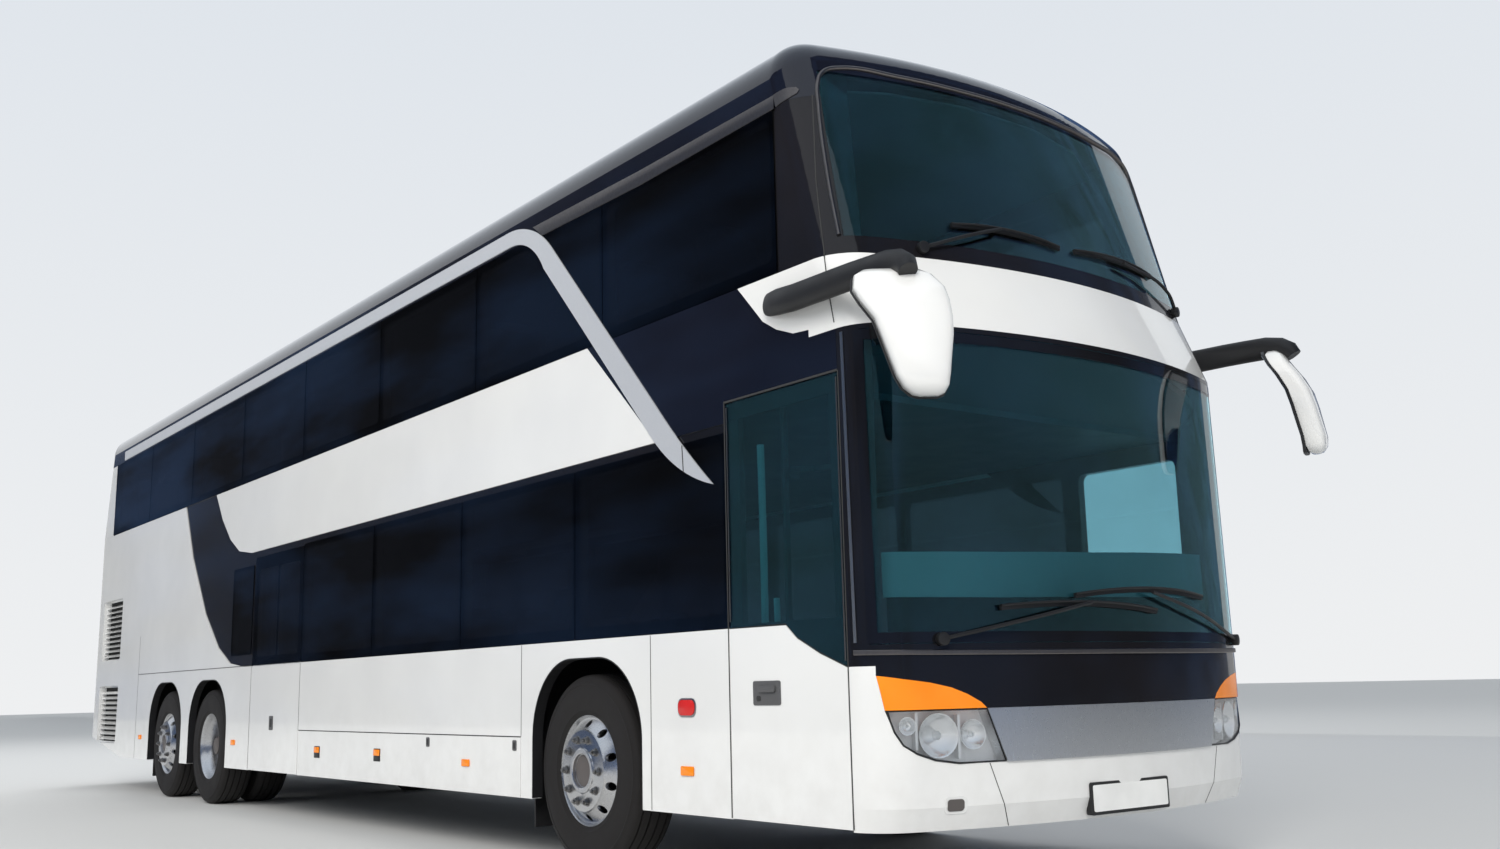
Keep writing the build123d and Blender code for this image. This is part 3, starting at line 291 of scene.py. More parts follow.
lamp("key_light", (19, -15, 15), (1, 0, 1.5), (12, 8), 3900, (1.0, 0.97, 0.92))
lamp("rear_light", (-18, 9, 17), (-2, 0, 2), (12, 8), 1700)
lamp("side_light", (-13, -22, 13), (-5, 0, 2), (14, 8), 2300, (1.0, 0.98, 0.95))

card_paint, tree, shader = node_material("dark_card")
cloud = object_noise(tree, 0.22, 4.0, (0.35, 0.35, 1.6))
tone = ramp(tree, cloud, (0.38, (0.012, 0.014, 0.024)), (0.62, (0.075, 0.150, 0.330)))
feed(shader, {"Base Color": tone, "Roughness": 1.0})


def dark_card(name, x0, x1, y0, y1, height):
    """A tall card that only reflections see, as a photographer hangs beside glossy black bodywork."""
    bpy.ops.mesh.primitive_plane_add(
        size=2, location=((x0 + x1) / 2, (y0 + y1) / 2, height / 2),
        rotation=(math.pi / 2, 0, math.atan2(y1 - y0, x1 - x0)))
    card = bpy.context.object
    card.name = card.data.name = name
    card.scale = (math.hypot(x1 - x0, y1 - y0) / 2, height / 2, 1)
    settle(card)
    card.data.materials.append(card_paint)
    card.visible_camera = card.visible_diffuse = card.visible_shadow = card.visible_transmission = False


dark_card("side_card_right", -95, 3, -15, -15, 15)
dark_card("side_card_left", -95, 3, 15, 15, 15)
dark_card("front_card", 26, 6, -8, 62, 45)
dark_card("corner_card", 3, 26, -15, -8, 9)

# %% [markdown]
# Paint, glass and metal each have their own way of breaking an even colour.
# Body paint carries a clear coat with a faint waviness, and collects road dust low down.
# The pattern is read from object coordinates, which stay with the panel when a door or flap moves.

# %% Kinds of finish
def paint(name, colour, shade, roughness=0.22, coat=0.9, dust=0.16):
    """Gloss coach paint: slight tone drift, faint waviness, and dust towards the road."""
    material, tree, shader = node_material(name)
    drift = mixed(tree, between(tree, object_noise(tree, 1.3), 0, 1, 0.35, 0.65), colour, shade)
    low = between(tree, place_on(tree, "Z"), dust, 0.0, 0.30, 0.95)
    speck = maths(tree, "MULTIPLY", low, between(tree, object_noise(tree, 9.0, 6.0), 0, 1, 0.35, 0.75))
    feed(shader, {
        "Base Color": mixed(tree, speck, drift, (0.34, 0.31, 0.27)),
        "Roughness": between(tree, object_noise(tree, 5.0), roughness - 0.04, roughness + 0.05),
        "Coat Weight": coat, "Coat Roughness": 0.04,
    })
    bumped(tree, shader, object_noise(tree, 240.0, 1.0), 0.005, 0.001)
    return material


def metal(name, colour, roughness, grain_scale, stretch, depth=0.15):
    """Bright metal with fine drawn lines along one direction."""
    material, tree, shader = node_material(name)
    lines = object_noise(tree, grain_scale, 2.0, stretch)
    feed(shader, {
        "Base Color": mixed(tree, lines, colour, tuple(c * 0.8 for c in colour)),
        "Roughness": between(tree, lines, roughness * 0.8, roughness * 1.35), "Metallic": 1.0,
    })
    bumped(tree, shader, lines, depth, 0.0005)
    return material


def plastic(name, colour, roughness, grain=600.0, depth=0.15):
    """Moulded plastic or rubber with a fine grain."""
    material, tree, shader = node_material(name)
    cloud = object_noise(tree, 6.0)
    feed(shader, {
        "Base Color": mixed(tree, cloud, colour, tuple(c * 1.35 + 0.004 for c in colour)),
        "Roughness": between(tree, cloud, roughness - 0.06, roughness + 0.08, 0.3, 0.7),
    })
    bumped(tree, shader, object_noise(tree, grain, 2.0), depth, 0.0008)
    return material


def glazing(name, tint, haze=0.02, bend=1.01):
    """Tinted safety glass, a little cloudier in places; its gloss is a coat, so a thick pane is no lens."""
    material, tree, shader = node_material(name)
    cloud = between(tree, object_noise(tree, 0.9), 0, 1, 0.35, 0.65)
    feed(shader, {
        "Base Color": mixed(tree, cloud, tint, tuple(c * 0.86 for c in tint)),
        "Roughness": between(tree, object_noise(tree, 2.5), haze * 0.5, haze * 1.6),
        "Transmission Weight": 1.0, "IOR": bend,
    })
    if bend < 1.1:
        feed(shader, {"Coat Weight": 1.0, "Coat Roughness": 0.01})
    return material


def fabric(name, colour, other):
    """Woven moquette: crossed threads and a soft pile."""
    material, tree, shader = node_material(name)
    place = node(tree, "TexCoord", {}).outputs["Object"]
    threads = {"Vector": place, "Scale": 60.0, "Distortion": 1.5}
    across, upright = [node(tree, "TexWave", threads, bands_direction=way).outputs["Fac"] for way in ("X", "Z")]
    weave = maths(tree, "MULTIPLY", across, upright)
    feed(shader, {"Base Color": mixed(tree, weave, colour, other), "Roughness": 0.9, "Sheen Weight": 0.4})
    bumped(tree, shader, weave, 0.4, 0.002)
    return material


print("five kinds of finish ready")

# %% Finishes
white_paint = paint("white_paint", (0.83, 0.83, 0.82), (0.79, 0.79, 0.785))
dark_paint = paint("dark_paint", (0.005, 0.006, 0.012), (0.007, 0.008, 0.015), 0.12, 1.0, 0.0)
window_black = paint("window_black", (0.008, 0.008, 0.010), (0.011, 0.010, 0.012), 0.2, 0.6, 0.0)
gloss_black = paint("gloss_black", (0.006, 0.006, 0.008), (0.009, 0.009, 0.011), 0.15, 0.8, 0.0)
for finish in (dark_paint, window_black, gloss_black):
    feed(finish.node_tree.nodes["Principled BSDF"], {"Specular IOR Level": 0.12})

side_glass_tint = glazing("side_glass_tint", (0.035, 0.037, 0.045), 0.01)
screen_glass = glazing("screen_glass", (0.26, 0.56, 0.64), 0.008)
door_glass = glazing("door_glass", (0.16, 0.40, 0.46), 0.008)
clear_lens = glazing("clear_lens", (0.97, 0.98, 0.99), 0.01)
frosted = glazing("frosted", (0.9, 0.92, 0.93), 0.35, 1.45)

brushed_silver = metal("brushed_silver", (0.68, 0.70, 0.74), 0.34, 40.0, (1, 12, 30), 0.1)
feed(brushed_silver.node_tree.nodes["Principled BSDF"], {"Metallic": 0.35})
alloy = metal("alloy", (0.74, 0.74, 0.75), 0.27, 30.0, (6, 1, 6), 0.04)
nut_steel = metal("nut_steel", (0.36, 0.35, 0.34), 0.36, 60.0, (1, 1, 1), 0.1)
lamp_mirror = metal("lamp_mirror", (0.92, 0.93, 0.94), 0.20, 8.0, (1, 1, 1), 0.0)
mirror_silver = metal("mirror_silver", (0.80, 0.82, 0.84), 0.04, 8.0, (1, 1, 1), 0.0)
satin_bright = metal("satin_bright", (0.78, 0.79, 0.80), 0.28, 40.0, (1, 10, 1), 0.04)
satin_grey = metal("satin_grey", (0.42, 0.43, 0.44), 0.36, 90.0, (1, 8, 1), 0.1)
bead_grey = metal("bead_grey", (0.24, 0.22, 0.21), 0.42, 70.0, (1, 1, 1), 0.08)

amber_lens = plastic("amber_lens", (0.86, 0.235, 0.008), 0.16, 400.0, 0.05)
red_lens = plastic("red_lens", (0.50, 0.012, 0.010), 0.2, 400.0, 0.05)
black_plastic = plastic("black_plastic", (0.010, 0.010, 0.011), 0.42)
soft_black = plastic("soft_black", (0.009, 0.009, 0.010), 0.5)
tyre_rubber = plastic("tyre_rubber", (0.012, 0.0105, 0.010), 0.78, 300.0, 0.3)
chassis_black = plastic("chassis_black", (0.016, 0.016, 0.017), 0.55, 90.0, 0.3)
cast_steel = plastic("cast_steel", (0.10, 0.10, 0.105), 0.5, 120.0, 0.35)
floor_vinyl = plastic("floor_vinyl", (0.06, 0.07, 0.085), 0.55, 800.0, 0.25)
trim_grey = plastic("trim_grey", (0.20, 0.21, 0.22), 0.5, 700.0, 0.2)
dash_grey = plastic("dash_grey", (0.035, 0.037, 0.04), 0.5, 500.0, 0.25)
handle_grey = plastic("handle_grey", (0.075, 0.075, 0.078), 0.42, 300.0, 0.1)
louvre_dark = plastic("louvre_dark", (0.004, 0.004, 0.004), 0.9, 300.0, 0.1)
hub_dark = plastic("hub_dark", (0.085, 0.075, 0.072), 0.42, 200.0, 0.2)
lamp_silver = plastic("lamp_silver", (0.74, 0.75, 0.76), 0.22, 60.0, 0.05)
sign_white = plastic("sign_white", (0.72, 0.72, 0.71), 0.35, 500.0, 0.05)
seam_dark = plastic("seam_dark", (0.03, 0.03, 0.03), 0.7, 300.0, 0.2)
rail_pale = plastic("rail_pale", (0.62, 0.70, 0.66), 0.3, 300.0, 0.05)
liner_dark = plastic("liner_dark", (0.16, 0.17, 0.18), 0.85, 300.0, 0.2)
seat_cloth = fabric("seat_cloth", (0.045, 0.06, 0.12), (0.11, 0.12, 0.16))
print("finishes made:", len(bpy.data.materials))

# %% [markdown]
# Two finishes change from place to place.
# The driver's own pane is clear while its neighbours are dark, so gates on the three axes pick it out of the one node.
# The ledge behind the windscreen darkens towards the driver's side; this darkening is painted shade.

# %% Driver's pane and cab ledge
tree = side_glass_tint.node_tree
inside = 1.0
for axis, test, limit in (("X", "GREATER_THAN", front_axle_x + 1.36), ("Y", "GREATER_THAN", 0.0),
    ("Z", "LESS_THAN", 2.40)):
    inside = maths(tree, "MULTIPLY", inside, maths(tree, test, place_on(tree, axis), limit))
shader = tree.nodes["Principled BSDF"]
dark_tint = shader.inputs["Base Color"].links[0].from_socket
feed(shader, {"Base Color": mixed(tree, inside, dark_tint, (0.74, 0.86, 0.90))})

ledge_painted_shade, tree, shader = node_material("ledge_painted_shade")
# Painted shade: the ledge's colour runs from pale grey to near black towards the driver's side.
across = between(tree, place_on(tree, "Y"), 0.0, 1.0, -1.1, 1.0)
feed(shader, {"Base Color": mixed(tree, across, (0.50, 0.51, 0.48), (0.10, 0.15, 0.16)), "Roughness": 0.7})
print("driver's pane and ledge finished")

# %% [markdown]
# Every node of the model now gets its finish.
# The two decks' frames are black behind the glass, the skirts and bands white, and everything below the floor dark.

# %% Finish for each model node
finish_of = {
    dark_paint: ["roof", "front_quarters"],
    white_paint: ["side_panels", "louvres", "front_band", "bumpers", "tail_panels", "engine_lid", "left_flap",
    "right_flap"],
    window_black: ["window_frames", "front_frames"],
    side_glass_tint: ["side_glass", "rear_window", "mid_door_glass"],
    screen_glass: ["lower_windscreen", "upper_windscreen"],
    door_glass: ["front_door_glass"],
    brushed_silver: ["bright_strips"],
    satin_bright: ["grille_bar"],
    clear_lens: ["headlamps"],
    amber_lens: ["front_indicators"],
    red_lens: ["tail_lamps"],
    floor_vinyl: ["lower_floor", "upper_floor", "stairs"],
    trim_grey: ["bulkhead"],
    dash_grey: ["dashboard", "steering_wheel"],
    black_plastic: ["wheel_housings", "mudflaps", "front_door_arms", "mid_door_arms", "mirror_arms", "mirror_shells"],
    chassis_black: ["chassis_rails", "axles", "engine_block"],
    cast_steel: ["front_left_knuckle", "front_right_knuckle", "tag_left_knuckle", "tag_right_knuckle"],
    seat_cloth: ["seats"],
}
for finish, names in finish_of.items():
    for name in names:
        nodes[name].data.materials.clear()
        nodes[name].data.materials.append(finish)
for name, node in nodes.items():
    if name.endswith(("_tyre", "_tyres", "_rim", "_rims")):
        node.data.materials.clear()
        node.data.materials.append(tyre_rubber if "tyre" in name else alloy)
for name in ("front_door", "mid_door"):
    nodes[name].data.materials.clear()
    nodes[name].data.materials.append(white_paint)
print("model nodes finished:", sum(len(names) for names in finish_of.values()))

# %% [markdown]
# Much of a coach is sheet work: an outline, filled and given a thickness.
# Growing the outline vertex by vertex keeps full control of its corners, which a scaled cube would not.
# Where a piece follows the curved front, it is cut into strips while flat and then laid on the front's own plan curve.

# %% Grown lines and flat plates
def grown_line(name, points):
    """A chain of edges through the points, left in edit mode."""
    clear()
    bpy.ops.mesh.primitive_plane_add(size=0.01, location=points[0])
    piece = bpy.context.object
    piece.name = piece.data.name = name
    edit(settle(piece))
    bpy.ops.mesh.merge(type="CENTER")
    for a, b in zip(points, points[1:]):
        bpy.ops.mesh.extrude_vertices_move(TRANSFORM_OT_translate={"value": tuple(Vector(b) - Vector(a))})
    return piece


def filled(name, points):
    """A flat face inside an outline, left in edit mode."""
    piece = grown_line(name, points)
    bpy.ops.mesh.select_all(action="SELECT")
    bpy.ops.mesh.edge_face_add()
    bpy.ops.mesh.select_all(action="SELECT")
    return piece


def plate(name, points, depth):
    """A filled outline given its depth."""
    piece = filled(name, points)
    bpy.ops.mesh.extrude_region_move(TRANSFORM_OT_translate={"value": depth})
    return face_out(piece)


def strips(name, outline, cuts, rows=()):
    """An outline in (s, z), filled and cut across, left in edit mode."""
    piece = filled(name, [(s, 0, z) for s, z in outline])
    low, high = min(s for s, z in outline), max(s for s, z in outline)
    for s in cuts:
        if low + 0.002 < s < high - 0.002:
            cut((s, 0, 0), (1, 0, 0))
    for z in rows:
        cut((0, 0, z), (0, 0, 1))
    return piece


def box_line(x0, x1, z0, z1):
    """The corners of a rectangle, in order."""
    return [(x0, z0), (x1, z0), (x1, z1), (x0, z1)]


def mirrored_line(points):
    """The same outline on the other side of the middle."""
    return [(-s, z) for s, z in reversed(points)]


def rounded(x0, x1, z0, z1, radius, steps=4):
    """Corner points of a rounded rectangle, in order."""
    found = []
    for cx, cz, start in ((x1, z1, 0), (x0, z1, 90), (x0, z0, 180), (x1, z0, 270)):
        ix, iz = cx - radius * (1 if cx == x1 else -1), cz - radius * (1 if cz == z1 else -1)
        for k in range(steps + 1):
            a = math.radians(start + 90 * k / steps)
            found.append((ix + radius * math.cos(a), iz + radius * math.sin(a)))
    return found


def dress(piece, finish, body, slot, *replaced):
    """Gives a piece its finish and the body that it rides on; the slot is not used."""
    piece.data.materials.clear()
    piece.data.materials.append(finish)
    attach(piece, body)
    if replaced:
        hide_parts(*replaced)
    return piece


def joined(name, pieces):
    """Joins finished meshes into one piece."""
    clear()
    for piece in pieces:
        piece.select_set(True)
    bpy.context.view_layer.objects.active = pieces[0]
    bpy.ops.object.join()
    whole = bpy.context.object
    whole.name = whole.data.name = name
    return whole


print("sheet tools ready")

# %% Side places
def along(x):
    """A distance from the front axle, as a place along the coach."""
    return front_axle_x + x


def side_plate(name, points, side, proud, depth):
    """An outline on one side's skin: x from the front axle and z, standing proud by proud + depth."""
    return plate(name, [(along(x), side * (skin_y + proud), z) for x, z in points], (0, side * depth, 0))


print("front axle at x", round(front_axle_x, 3))

# %% The front's plan curve
face_r, corner_r, corner_y, corner_in, face_x = 3.45, 0.23, 1.045, 0.4043, 6.781
corner_start = math.asin(corner_y / (face_r - corner_r))
face_run = face_r * corner_start
corner_run = face_run + corner_r * (math.pi / 2 - corner_start)
lean = [(0.335, 0.050), (0.430, 0.014), (1.003, 0.0), (2.463, 0.020), (2.815, 0.165)]


def front_back(z):
    """How far the front stands behind its foremost point, at one height."""
    if z <= lean[0][0]:
        return lean[0][1]
    for (z0, b0), (z1, b1) in zip(lean, lean[1:]):
        if z <= z1:
            return b0 + (b1 - b0) * (z - z0) / (z1 - z0)
    return lean[-1][1] + (z - lean[-1][0]) * math.tan(math.radians(15.5))


def front_point(s, z, out=0.0):
    """A point on the front: s is the distance round from the middle, out the distance off the skin."""
    way, run, x = (1 if s >= 0 else -1), abs(s), face_x - front_back(z)
    if run <= face_run:
        a = run / face_r
        return Vector((x - face_r + (face_r + out) * math.cos(a), way * (face_r + out) * math.sin(a), z))
    if run <= corner_run:
        a = corner_start + (run - face_run) / corner_r
        x += (corner_r + out) * math.cos(a) - corner_in
        return Vector((x, way * (corner_y + (corner_r + out) * math.sin(a)), z))
    return Vector((x - corner_in - (run - corner_run), way * (skin_y + out), z))


def front_normal(s, z):
    return (front_point(s, z, 0.1) - front_point(s, z)).normalized()


def onto_front(s, z, out, axis):
    """The move that stands a piece's own axis on the front at one place."""
    turn = Vector(axis).rotation_difference(front_normal(s, z)).to_matrix().to_4x4()
    return Matrix.Translation(front_point(s, z, out)) @ turn


def front_plate(name, outline, out, depth, step=0.10, rows=()):
    """A flat outline in (s, z), cut into strips and wrapped round the front."""
    cuts = [k * step for k in range(-16, 17)]
    cuts += [way * (face_run + (corner_run - face_run) * k / 8) for k in range(9) for way in (1, -1)]
    piece = strips(name, outline, sorted(cuts), rows)
    clear()
    for vertex in piece.data.vertices:
        vertex.co = front_point(vertex.co.x, vertex.co.z, out)
    edit(piece)
    bpy.ops.mesh.normals_make_consistent(inside=False)
    clear()
    if sum(face.normal.x * face.area for face in piece.data.polygons) < 0:
        edit(piece)
        bpy.ops.mesh.flip_normals()
    finish_with(piece, "SOLIDIFY", thickness=depth, offset=1)
    return smooth(piece)


print("front runs", round(face_run, 3), "to the corner and", round(corner_run, 3), "to the side")

# %% Round bars
def bar(name, points, radius, closed=False, soft=True, sides=3):
    """A round bar along a smooth or straight-sided path."""
    clear()
    bpy.ops.curve.primitive_bezier_curve_add(location=(0, 0, 0))
    piece = bpy.context.object
    spline = piece.data.splines[0]
    spline.bezier_points.add(len(points) - 2)
    for knot, point in zip(spline.bezier_points, points):
        knot.co = point
        knot.handle_left_type = knot.handle_right_type = "AUTO" if soft else "VECTOR"
    spline.use_cyclic_u = closed
    piece.data.dimensions = "3D"
    piece.data.bevel_depth = radius
    piece.data.bevel_resolution = sides
    piece.data.use_fill_caps = not closed
    piece.data.resolution_u = 8 if soft else 1
    bpy.ops.object.convert(target="MESH")
    piece = bpy.context.object
    piece.name = piece.data.name = name
    return smooth(face_out(settle(piece)))


print("bar tool ready")

# %% [markdown]
# A wheel is a section turned about its axle, so it is spun from one grown line.
# The steered wheels' discs bulge outwards and the driven ones are dished deeply,
# which is how twins are told from singles at a glance.
# Hand holes are cut afterwards, because they are what break the shine into bright lands and dark eyes.

# %% Turned sections
def turned(name, section, steps=96, closed=True):
    """Spins a line of (radius, across) points about the Y axis."""
    line = [(r, y, 0) for r, y in section]
    piece = grown_line(name, line + line[:1] if closed else line)
    bpy.ops.mesh.select_all(action="SELECT")
    bpy.ops.mesh.spin(steps=steps, angle=math.tau, center=(0, 0, 0), axis=(0, 1, 0))
    return smooth(face_out(piece), 32)


def ringed(name, make, radius, start=0.0, count=10):
    """Small pieces set round the axle and joined into one."""
    made = [make() for k in range(count)]
    for k, small in enumerate(made):
        turn = Matrix.Rotation(math.tau * (k + start) / count, 4, "Y")
        small.data.transform(turn @ Matrix.Translation((0, 0, radius)))
    return joined(name, made)


def wheel_nut(base):
    """A hexagon nut on its washer, with the stud showing."""
    nut = round_block(6, 0.0185, 0.020, (0, base + 0.014, 0), True)
    finish_with(nut, "BEVEL", width=0.0015, segments=1)
    washer = round_block(16, 0.0235, 0.005, (0, base + 0.002, 0), True)
    stud = round_block(10, 0.010, 0.012, (0, base + 0.029, 0), True)
    return joined("nut", [nut, washer, stud])


print("turning tools ready")

# %% Tyre
def tyre_section():
    """Bead, side wall with its two raised rings, rounded shoulder and four grooves in the tread."""
    half = [(0.286, 0.104), (0.288, 0.119), (0.299, 0.126), (0.312, 0.1315), (0.318, 0.1355), (0.324, 0.1350),
            (0.360, 0.1385), (0.400, 0.1390), (0.430, 0.1365), (0.452, 0.1330), (0.456, 0.1355), (0.464, 0.1345),
            (0.468, 0.1300), (0.486, 0.1240), (0.497, 0.1150), (0.503, 0.1060)]
    tread = []
    for middle in (0.078, 0.027, -0.027, -0.078):
        crown = 0.5095 - 0.35 * middle * middle
        root, low, high = crown - 0.013, middle - 0.004, middle + 0.004
        tread += [(crown, high + 0.002), (root, high), (root, low), (crown, low - 0.002)]
    inner = [(r, -y) for r, y in reversed(half)]
    return half + tread + inner + [(0.300, -0.06), (0.300, 0.06)]


master_tyre = turned("master_tyre", tyre_section(), 96)
print("tyre faces", len(master_tyre.data.polygons))

# %% Wheel discs
steered_section = [
    (0.3000, 0.1120), (0.3006, 0.1170), (0.2960, 0.1212), (0.2895, 0.1205), (0.2850, 0.1150), (0.2825, 0.1040),
    (0.2780, 0.0985), (0.2680, 0.0975), (0.2620, 0.1010), (0.2180, 0.1440), (0.2150, 0.1490), (0.2120, 0.1555),
    (0.2060, 0.1575), (0.1250, 0.1575), (0.1200, 0.1600), (0.1170, 0.1660), (0.1120, 0.1690), (0.0940, 0.1690),
    (0.0890, 0.1660), (0.0870, 0.1500), (0.0, 0.1480), (0.0, 0.1300), (0.1100, 0.1300), (0.2020, 0.1420),
    (0.2550, 0.0860), (0.2580, 0.0500), (0.2440, 0.0100), (0.2440, -0.0450), (0.2700, -0.0900), (0.2840, -0.1100),
    (0.2960, -0.1205), (0.3000, -0.1120), (0.2870, -0.1000), (0.2790, -0.0800), (0.2520, -0.0400), (0.2520, 0.0050),
    (0.2700, 0.0600), (0.2860, 0.0980),
]
driven_section = [
    (0.3000, 0.1120), (0.3006, 0.1170), (0.2960, 0.1212), (0.2895, 0.1205), (0.2850, 0.1150), (0.2790, 0.1000),
    (0.2720, 0.0820), (0.2640, 0.0600), (0.2520, 0.0420), (0.2490, 0.0050), (0.2470, -0.0250), (0.2400, -0.0440),
    (0.2300, -0.0520), (0.2180, -0.0500), (0.1950, -0.0360), (0.1880, -0.0340), (0.0900, -0.0340), (0.0900, -0.0480),
    (0.1900, -0.0480), (0.2200, -0.0640), (0.2400, -0.0640), (0.2520, -0.0500), (0.2700, -0.0900), (0.2840, -0.1100),
    (0.2960, -0.1205), (0.3000, -0.1120), (0.2870, -0.1000), (0.2790, -0.0800), (0.2590, -0.0400), (0.2590, 0.0300),
    (0.2760, 0.0750), (0.2860, 0.0980),
]


def pierced(name, section, hole, depth, across, ring):
    """A turned disc with ten hand holes cut through it."""
    disc = turned(name, section, 80)
    holes = ringed("holes", lambda: round_block(20, hole, depth, (0, across, 0), True), ring)
    finish_with(disc, "BOOLEAN", object=holes, operation="DIFFERENCE", solver="EXACT")
    remove(holes)
    return smooth(disc, 30)


steered_disc = pierced("steered_disc", steered_section, 0.0225, 0.22, 0.10, 0.2405)
driven_disc = pierced("driven_disc", driven_section, 0.019, 0.10, -0.05, 0.2165)
print("disc faces", len(steered_disc.data.polygons), len(driven_disc.data.polygons))

# %% Hubs and nuts
steered_nuts = ringed("steered_nuts", lambda: wheel_nut(0.1565), 0.1675, 0.5)
driven_nuts = ringed("driven_nuts", lambda: wheel_nut(-0.0350), 0.1675, 0.5)
steered_cap = turned(
    "steered_cap",
    [(0.0, 0.158), (0.030, 0.1575), (0.060, 0.155), (0.074, 0.152), (0.084, 0.1505), (0.084, 0.146), (0.0, 0.146)],
    48, False,
)
hub_section = [
    (0.0, 0.074), (0.062, 0.072), (0.074, 0.066), (0.078, 0.050), (0.080, 0.034), (0.104, 0.030), (0.110, 0.024),
    (0.112, -0.020), (0.132, -0.026), (0.136, -0.036), (0.0, -0.040),
]
driven_hub = turned("driven_hub", hub_section, 48, False)
print("hub pieces turned")


# %% Wheels in place
def fitted(master, name, x, y, side):
    """A copy of a turned piece, set on its axle; the other side's copy is mirrored."""
    piece = copied(master, Matrix.Translation((x, side * y, tyre_radius)) @ Matrix.Scale(side, 4, (0, 1, 0)))
    piece.name = piece.data.name = name
    if side < 0:
        edit(piece)
        bpy.ops.mesh.normals_make_consistent(inside=False)
        clear()
    return piece


wheel_y, twin_y = 1.105, 0.775
for axle, x in (("front", along(0)), ("tag", along(-8.05))):
    for label, side in (("left", 1), ("right", -1)):
        corner = axle + "_" + label
        wheel = corner + "_wheel"
        tyre = fitted(master_tyre, corner + "_tyre_dressed", x, wheel_y, side)
        dress(tyre, tyre_rubber, wheel, "tyre", corner + "_tyre")
        dress(fitted(steered_disc, corner + "_disc", x, wheel_y, side), alloy, wheel, "rim_alloy", corner + "_rim")
        dress(fitted(steered_nuts, corner + "_nuts", x, wheel_y, side), nut_steel, wheel, "rim_alloy")
        dress(fitted(steered_cap, corner + "_cap", x, wheel_y, side), hub_dark, wheel, "chassis_steel")
for label, side in (("left", 1), ("right", -1)):
    corner, x = "drive_" + label, along(-6.7)
    body = corner + "_wheels"
    outer = fitted(master_tyre, corner + "_outer", x, wheel_y, side)
    inner = fitted(master_tyre, corner + "_inner", x, twin_y, side)
    dress(joined(corner + "_tyres_dressed", [outer, inner]), tyre_rubber, body, "tyre", corner + "_tyres")
    outer = fitted(driven_disc, corner + "_outer", x, wheel_y, side)
    inner = fitted(driven_disc, corner + "_inner", x, -twin_y, -side)
    dress(joined(corner + "_discs", [outer, inner]), alloy, body, "rim_alloy", corner + "_rims")
    dress(fitted(driven_nuts, corner + "_nuts", x, wheel_y, side), nut_steel, body, "rim_alloy")
    dress(fitted(driven_hub, corner + "_hub", x, wheel_y, side), hub_dark, body, "chassis_steel")
remove(master_tyre, steered_disc, driven_disc, steered_nuts, driven_nuts, steered_cap, driven_hub)
print("wheels in place")

# %% [markdown]
# The lamp cluster is one clear cover over a deep bright bowl for each beam.
# The model leaves its recess open, so a back plate closes it and turned bowls sit in front of that.
# The cover is a thin shell rather than a solid block of glass, which would act as a lens and show nothing behind it.

# %% Headlamps
lens_line = [
    (0.806, 0.818), (0.722, 0.604), (0.950, 0.603), (1.060, 0.619), (1.141, 0.647), (1.198, 0.682), (1.233, 0.735),
    (1.262, 0.818),
]
beams = ((0.872, 0.716, 0.058, 0.036), (1.034, 0.716, 0.088, 0.044), (1.176, 0.758, 0.034, 0.022))
bowl_out = -0.012


def lamp_bowl(s, z, radius, depth):
    """A parabolic reflector facing along the front's normal at one place."""
    curve = [((radius - 0.012) * (k / 8) ** 0.5, -depth * (1 - k / 8)) for k in range(1, 9)]
    section = [(0.012, -depth)] + [(0.012 + r, y) for r, y in curve]
    section += [(radius + 0.003, 0.001), (radius + 0.003, -0.004), (radius, -0.006)]
    section += [(0.014 + r, y - 0.004) for r, y in reversed(curve[:-1])]
    section += [(0.0, -depth - 0.004), (0.0, -depth)]
    bowl = turned("lamp_bowl", section, 40)
    bowl.data.transform(onto_front(s, z, bowl_out, (0, 1, 0)))
    return bowl


covers, backs, bowls, bulbs, ribs, rims = [], [], [], [], [], []
for way in (1, -1):
    line = lens_line if way > 0 else mirrored_line(lens_line)
    covers.append(front_plate("lamp_cover", line, -0.004, 0.003, 0.06, (0.66, 0.72, 0.77)))
    backs.append(front_plate("lamp_back", line, -0.058, 0.003, 0.06))
    for s, z, radius, depth in beams:
        bowls.append(lamp_bowl(way * s, z, radius, depth))
        clear()
        bpy.ops.mesh.primitive_uv_sphere_add(segments=16, ring_count=10, radius=radius * 0.22)
        bulb = bpy.context.object
        behind = front_normal(way * s, z) * depth * 0.45
        bulb.data.transform(Matrix.Translation(front_point(way * s, z, bowl_out) - behind))
        bulbs.append(smooth(bulb))
    for s, low, high in ((0.936, 0.62, 0.80), (1.133, 0.66, 0.81)):
        line = rounded(way * s - 0.006, way * s + 0.006, low, high, 0.004, 2)
        ribs.append(front_plate("lamp_rib", line, -0.050, 0.034, 0.06))
    rims.append(bar("lamp_rim", [front_point(way * s, z, 0.0012) for s, z in lens_line], 0.0042, True, False))
dress(joined("headlamp_rims", rims), black_plastic, "coach", "black_paint")
dress(joined("headlamp_covers", covers), clear_lens, "coach", "clear_lens", "headlamps")
dress(joined("headlamp_backs", backs), lamp_silver, "coach", "chrome")
dress(joined("headlamp_bowls", bowls), lamp_mirror, "coach", "chrome")
dress(joined("headlamp_bulbs", bulbs), frosted, "coach", "clear_lens")
dress(joined("headlamp_ribs", ribs), lamp_silver, "coach", "chrome")
print("headlamps fitted")

# %% [markdown]
# Between the windscreen and the lamps the front is a gloss black mask with a satin moulding across it.
# The moulding is half round in section, so it catches one long highlight.

